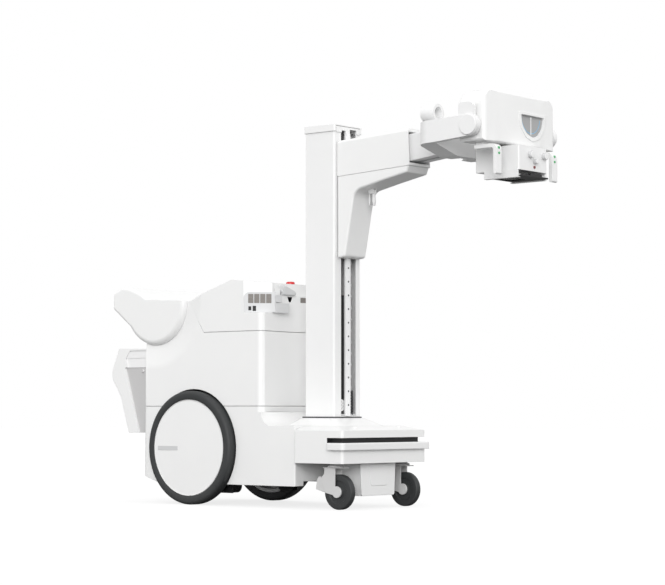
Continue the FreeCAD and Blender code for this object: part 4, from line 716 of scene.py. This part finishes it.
def makeSlats():
    v = slats
    body, x, thick = bodyOf["console_top_cover"], v["x"], v["plateThick"]
    low, high, over = v["low"], v["high"], v["plateOver"]
    lean = (v["far"] - v["near"]) * v["lean"]
    outline = [(x - thick, v["near"]), (x, v["near"]), (x + lean, v["far"]), (x + lean - thick, v["far"])]
    plate = prism(outline, "z", low - over, high + over)
    newPiece("slatPlate", plate, body, "louvreTan")
    w = v["wide"] / 2
    slat = atOrigin(prism([(-w, low), (w, low), (w, high), (-w, high)], "x", 0.0, v["depth"]))
    repeated("consoleSlats", slat, body, "louvreTan", place(x, v["first"], 0),
             (v["pitch"] * v["lean"], v["pitch"], 0), v["count"])


makeSlats()
print("slats made")


# Every other node keeps its own shape and gets its finish, and some of its faces get another one

special = {"panel_inserts": "louvreTan", "front_bumper": "bumperWhite", "trunnion_caps": "lightCasting",
           "lift_chain": "slotGrey", "lift_pulley": "pointerWhite", "exposure_button": "paleGrey"}
upright, sideways = (lambda n: abs(n.z) < 0.5), (lambda n: abs(n.y) > 0.9)
painted = (
    # the groove behind the bumper, painted black: painted shade, since the groove is only dark where shade
    # falls in it
    ("front_base_cover", "blackCoat", zone(x=(0.802, 0.8875), side=(-1, 0.2835), z=(0.2522, 0.3038))),
    ("column_mast", "darkGrey", zone(z=(0, 0.3935))),  # the plate under the column
    ("column_mast", "slotGrey", zone(x=(0.512, 0.6778), side=(-1, 0.065), z=(0.394, 9), facing=upright)),
    ("console_top_cover", "louvreTan", zone(x=(-9, 0.4108), y=(0.031, 0.073), z=(0.902, 0.927))),
    ("console_top_cover", "blackCoat", zone(x=(-9, 0.4108), y=(-0.058, -0.022), z=(0.902, 0.927))),
    ("panel_inserts", "blackCoat", zone(z=(0, 0.8815))),
    # the bin's side recess in two bands, pale above and grey below: the grey is partly the bin's grey
    # plastic and partly painted shade, darker towards the bottom of the recess
    ("detector_bin", "recessPale", zone(side=(0.228, 0.2385), z=(0.6185, 0.697), facing=sideways)),
    ("detector_bin", "recessGrey", zone(side=(0.228, 0.2385), z=(0.31, 0.6185), facing=sideways)),
)
done = {n for o in bpy.data.objects for n in o.get("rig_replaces", [])}
dressed = {node: dress(node, special.get(node)) for node in sorted(nodes) if node not in done}
for node, finish, inside in painted:
    paint(dressed[node], finish, inside)
print("covers and mechanism dressed")


# Floor, light and camera

studio = {
    "floorHalf": 30, "floor": (0.22, 0.22, 0.22), "floorRoughness": 0.9, "lift": 0.80, "worldLight": 0.95,
    "sun": 1.7, "softness": 35, "sunFrom": (0.75, -1.0, 0.35),
    "fill": 12, "fillSize": 3.0, "fillPlace": (6.0, 0.5, 1.4), "fillAim": (0.55, 0, 0.8),
    "lens": 110.106, "sensor": 36, "farthest": 100,
    "camera": (6.39947, -6.83464, 0.41908), "cameraAim": (0.5922, 0, 0.9402),
}


def makeFloor():
    mesh = bpy.data.meshes.new("floor")
    size = studio["floorHalf"]
    corners = [(-size, -size, 0), (size, -size, 0), (size, size, 0), (-size, size, 0)]
    mesh.from_pydata(corners, [], [(0, 1, 2, 3)])
    floor = bpy.data.objects.new("floor", mesh)
    bpy.context.scene.collection.objects.link(floor)
    coat = bpy.data.materials.new("floorPaint")
    coat.use_nodes = True
    tree = coat.node_tree
    shader = tree.nodes["Principled BSDF"]
    shader.inputs["Base Color"].default_value = (*studio["floor"], 1)
    shader.inputs["Roughness"].default_value = studio["floorRoughness"]
    shader.inputs["Specular IOR Level"].default_value = 0.0
    rays = tree.nodes.new("ShaderNodeLightPath")
    lift = tree.nodes.new("ShaderNodeMath")
    lift.operation = "MULTIPLY"
    lift.inputs[1].default_value = studio["lift"]
    tree.links.new(rays.outputs["Is Camera Ray"], lift.inputs[0])
    glow = tree.nodes.new("ShaderNodeEmission")
    tree.links.new(lift.outputs[0], glow.inputs["Strength"])
    both = tree.nodes.new("ShaderNodeAddShader")
    tree.links.new(shader.outputs["BSDF"], both.inputs[0])
    tree.links.new(glow.outputs["Emission"], both.inputs[1])
    tree.links.new(both.outputs["Shader"], tree.nodes["Material Output"].inputs["Surface"])
    mesh.materials.append(coat)


def makeWorld():  # white where the camera, glossy and transmitted rays see it, a little dimmer as a light
    world = bpy.data.worlds.new("studio")
    bpy.context.scene.world = world
    world.use_nodes = True
    tree = world.node_tree
    seen, light = tree.nodes["Background"], tree.nodes.new("ShaderNodeBackground")
    seen.inputs["Color"].default_value = (1, 1, 1, 1)
    light.inputs["Color"].default_value = (1, 1, 1, 1)
    light.inputs["Strength"].default_value = studio["worldLight"]
    rays = tree.nodes.new("ShaderNodeLightPath")
    total = rays.outputs["Is Camera Ray"]
    for kind in ("Is Glossy Ray", "Is Transmission Ray"):
        either = tree.nodes.new("ShaderNodeMath")
        either.operation = "MAXIMUM"
        tree.links.new(total, either.inputs[0])
        tree.links.new(rays.outputs[kind], either.inputs[1])
        total = either.outputs[0]
    choose = tree.nodes.new("ShaderNodeMixShader")
    tree.links.new(total, choose.inputs["Fac"])
    tree.links.new(light.outputs["Background"], choose.inputs[1])
    tree.links.new(seen.outputs["Background"], choose.inputs[2])
    tree.links.new(choose.outputs["Shader"], tree.nodes["World Output"].inputs["Surface"])


def hang(name, data, rotation, position=(0, 0, 0)):  # a lamp or the camera in its place
    holder = bpy.data.objects.new(name, data)
    holder.location = position
    holder.rotation_euler = rotation.to_euler()
    bpy.context.scene.collection.objects.link(holder)
    return holder


def makeLamps():
    key = bpy.data.lights.new("key", "SUN")
    key.energy, key.angle = studio["sun"], math.radians(studio["softness"])
    hang("key", key, Vector(studio["sunFrom"]).to_track_quat("Z", "Y"))
    fill = bpy.data.lights.new("fill", "AREA")
    fill.size, fill.energy = studio["fillSize"], studio["fill"]
    position, target = place(*studio["fillPlace"]), place(*studio["fillAim"])
    hang("fill", fill, (target - position).to_track_quat("-Z", "Y"), position)


def makeCamera():
    lens = bpy.data.cameras.new("camera")
    lens.lens, lens.sensor_width, lens.clip_end = studio["lens"], studio["sensor"], studio["farthest"]
    position, target = place(*studio["camera"]), place(*studio["cameraAim"])
    camera = hang("camera", lens, (target - position).to_track_quat("-Z", "Y"), position)
    bpy.context.scene.camera = camera


makeFloor()
makeWorld()
makeLamps()
makeCamera()
bpy.context.scene.view_settings.view_transform = "Standard"
print("studio made")
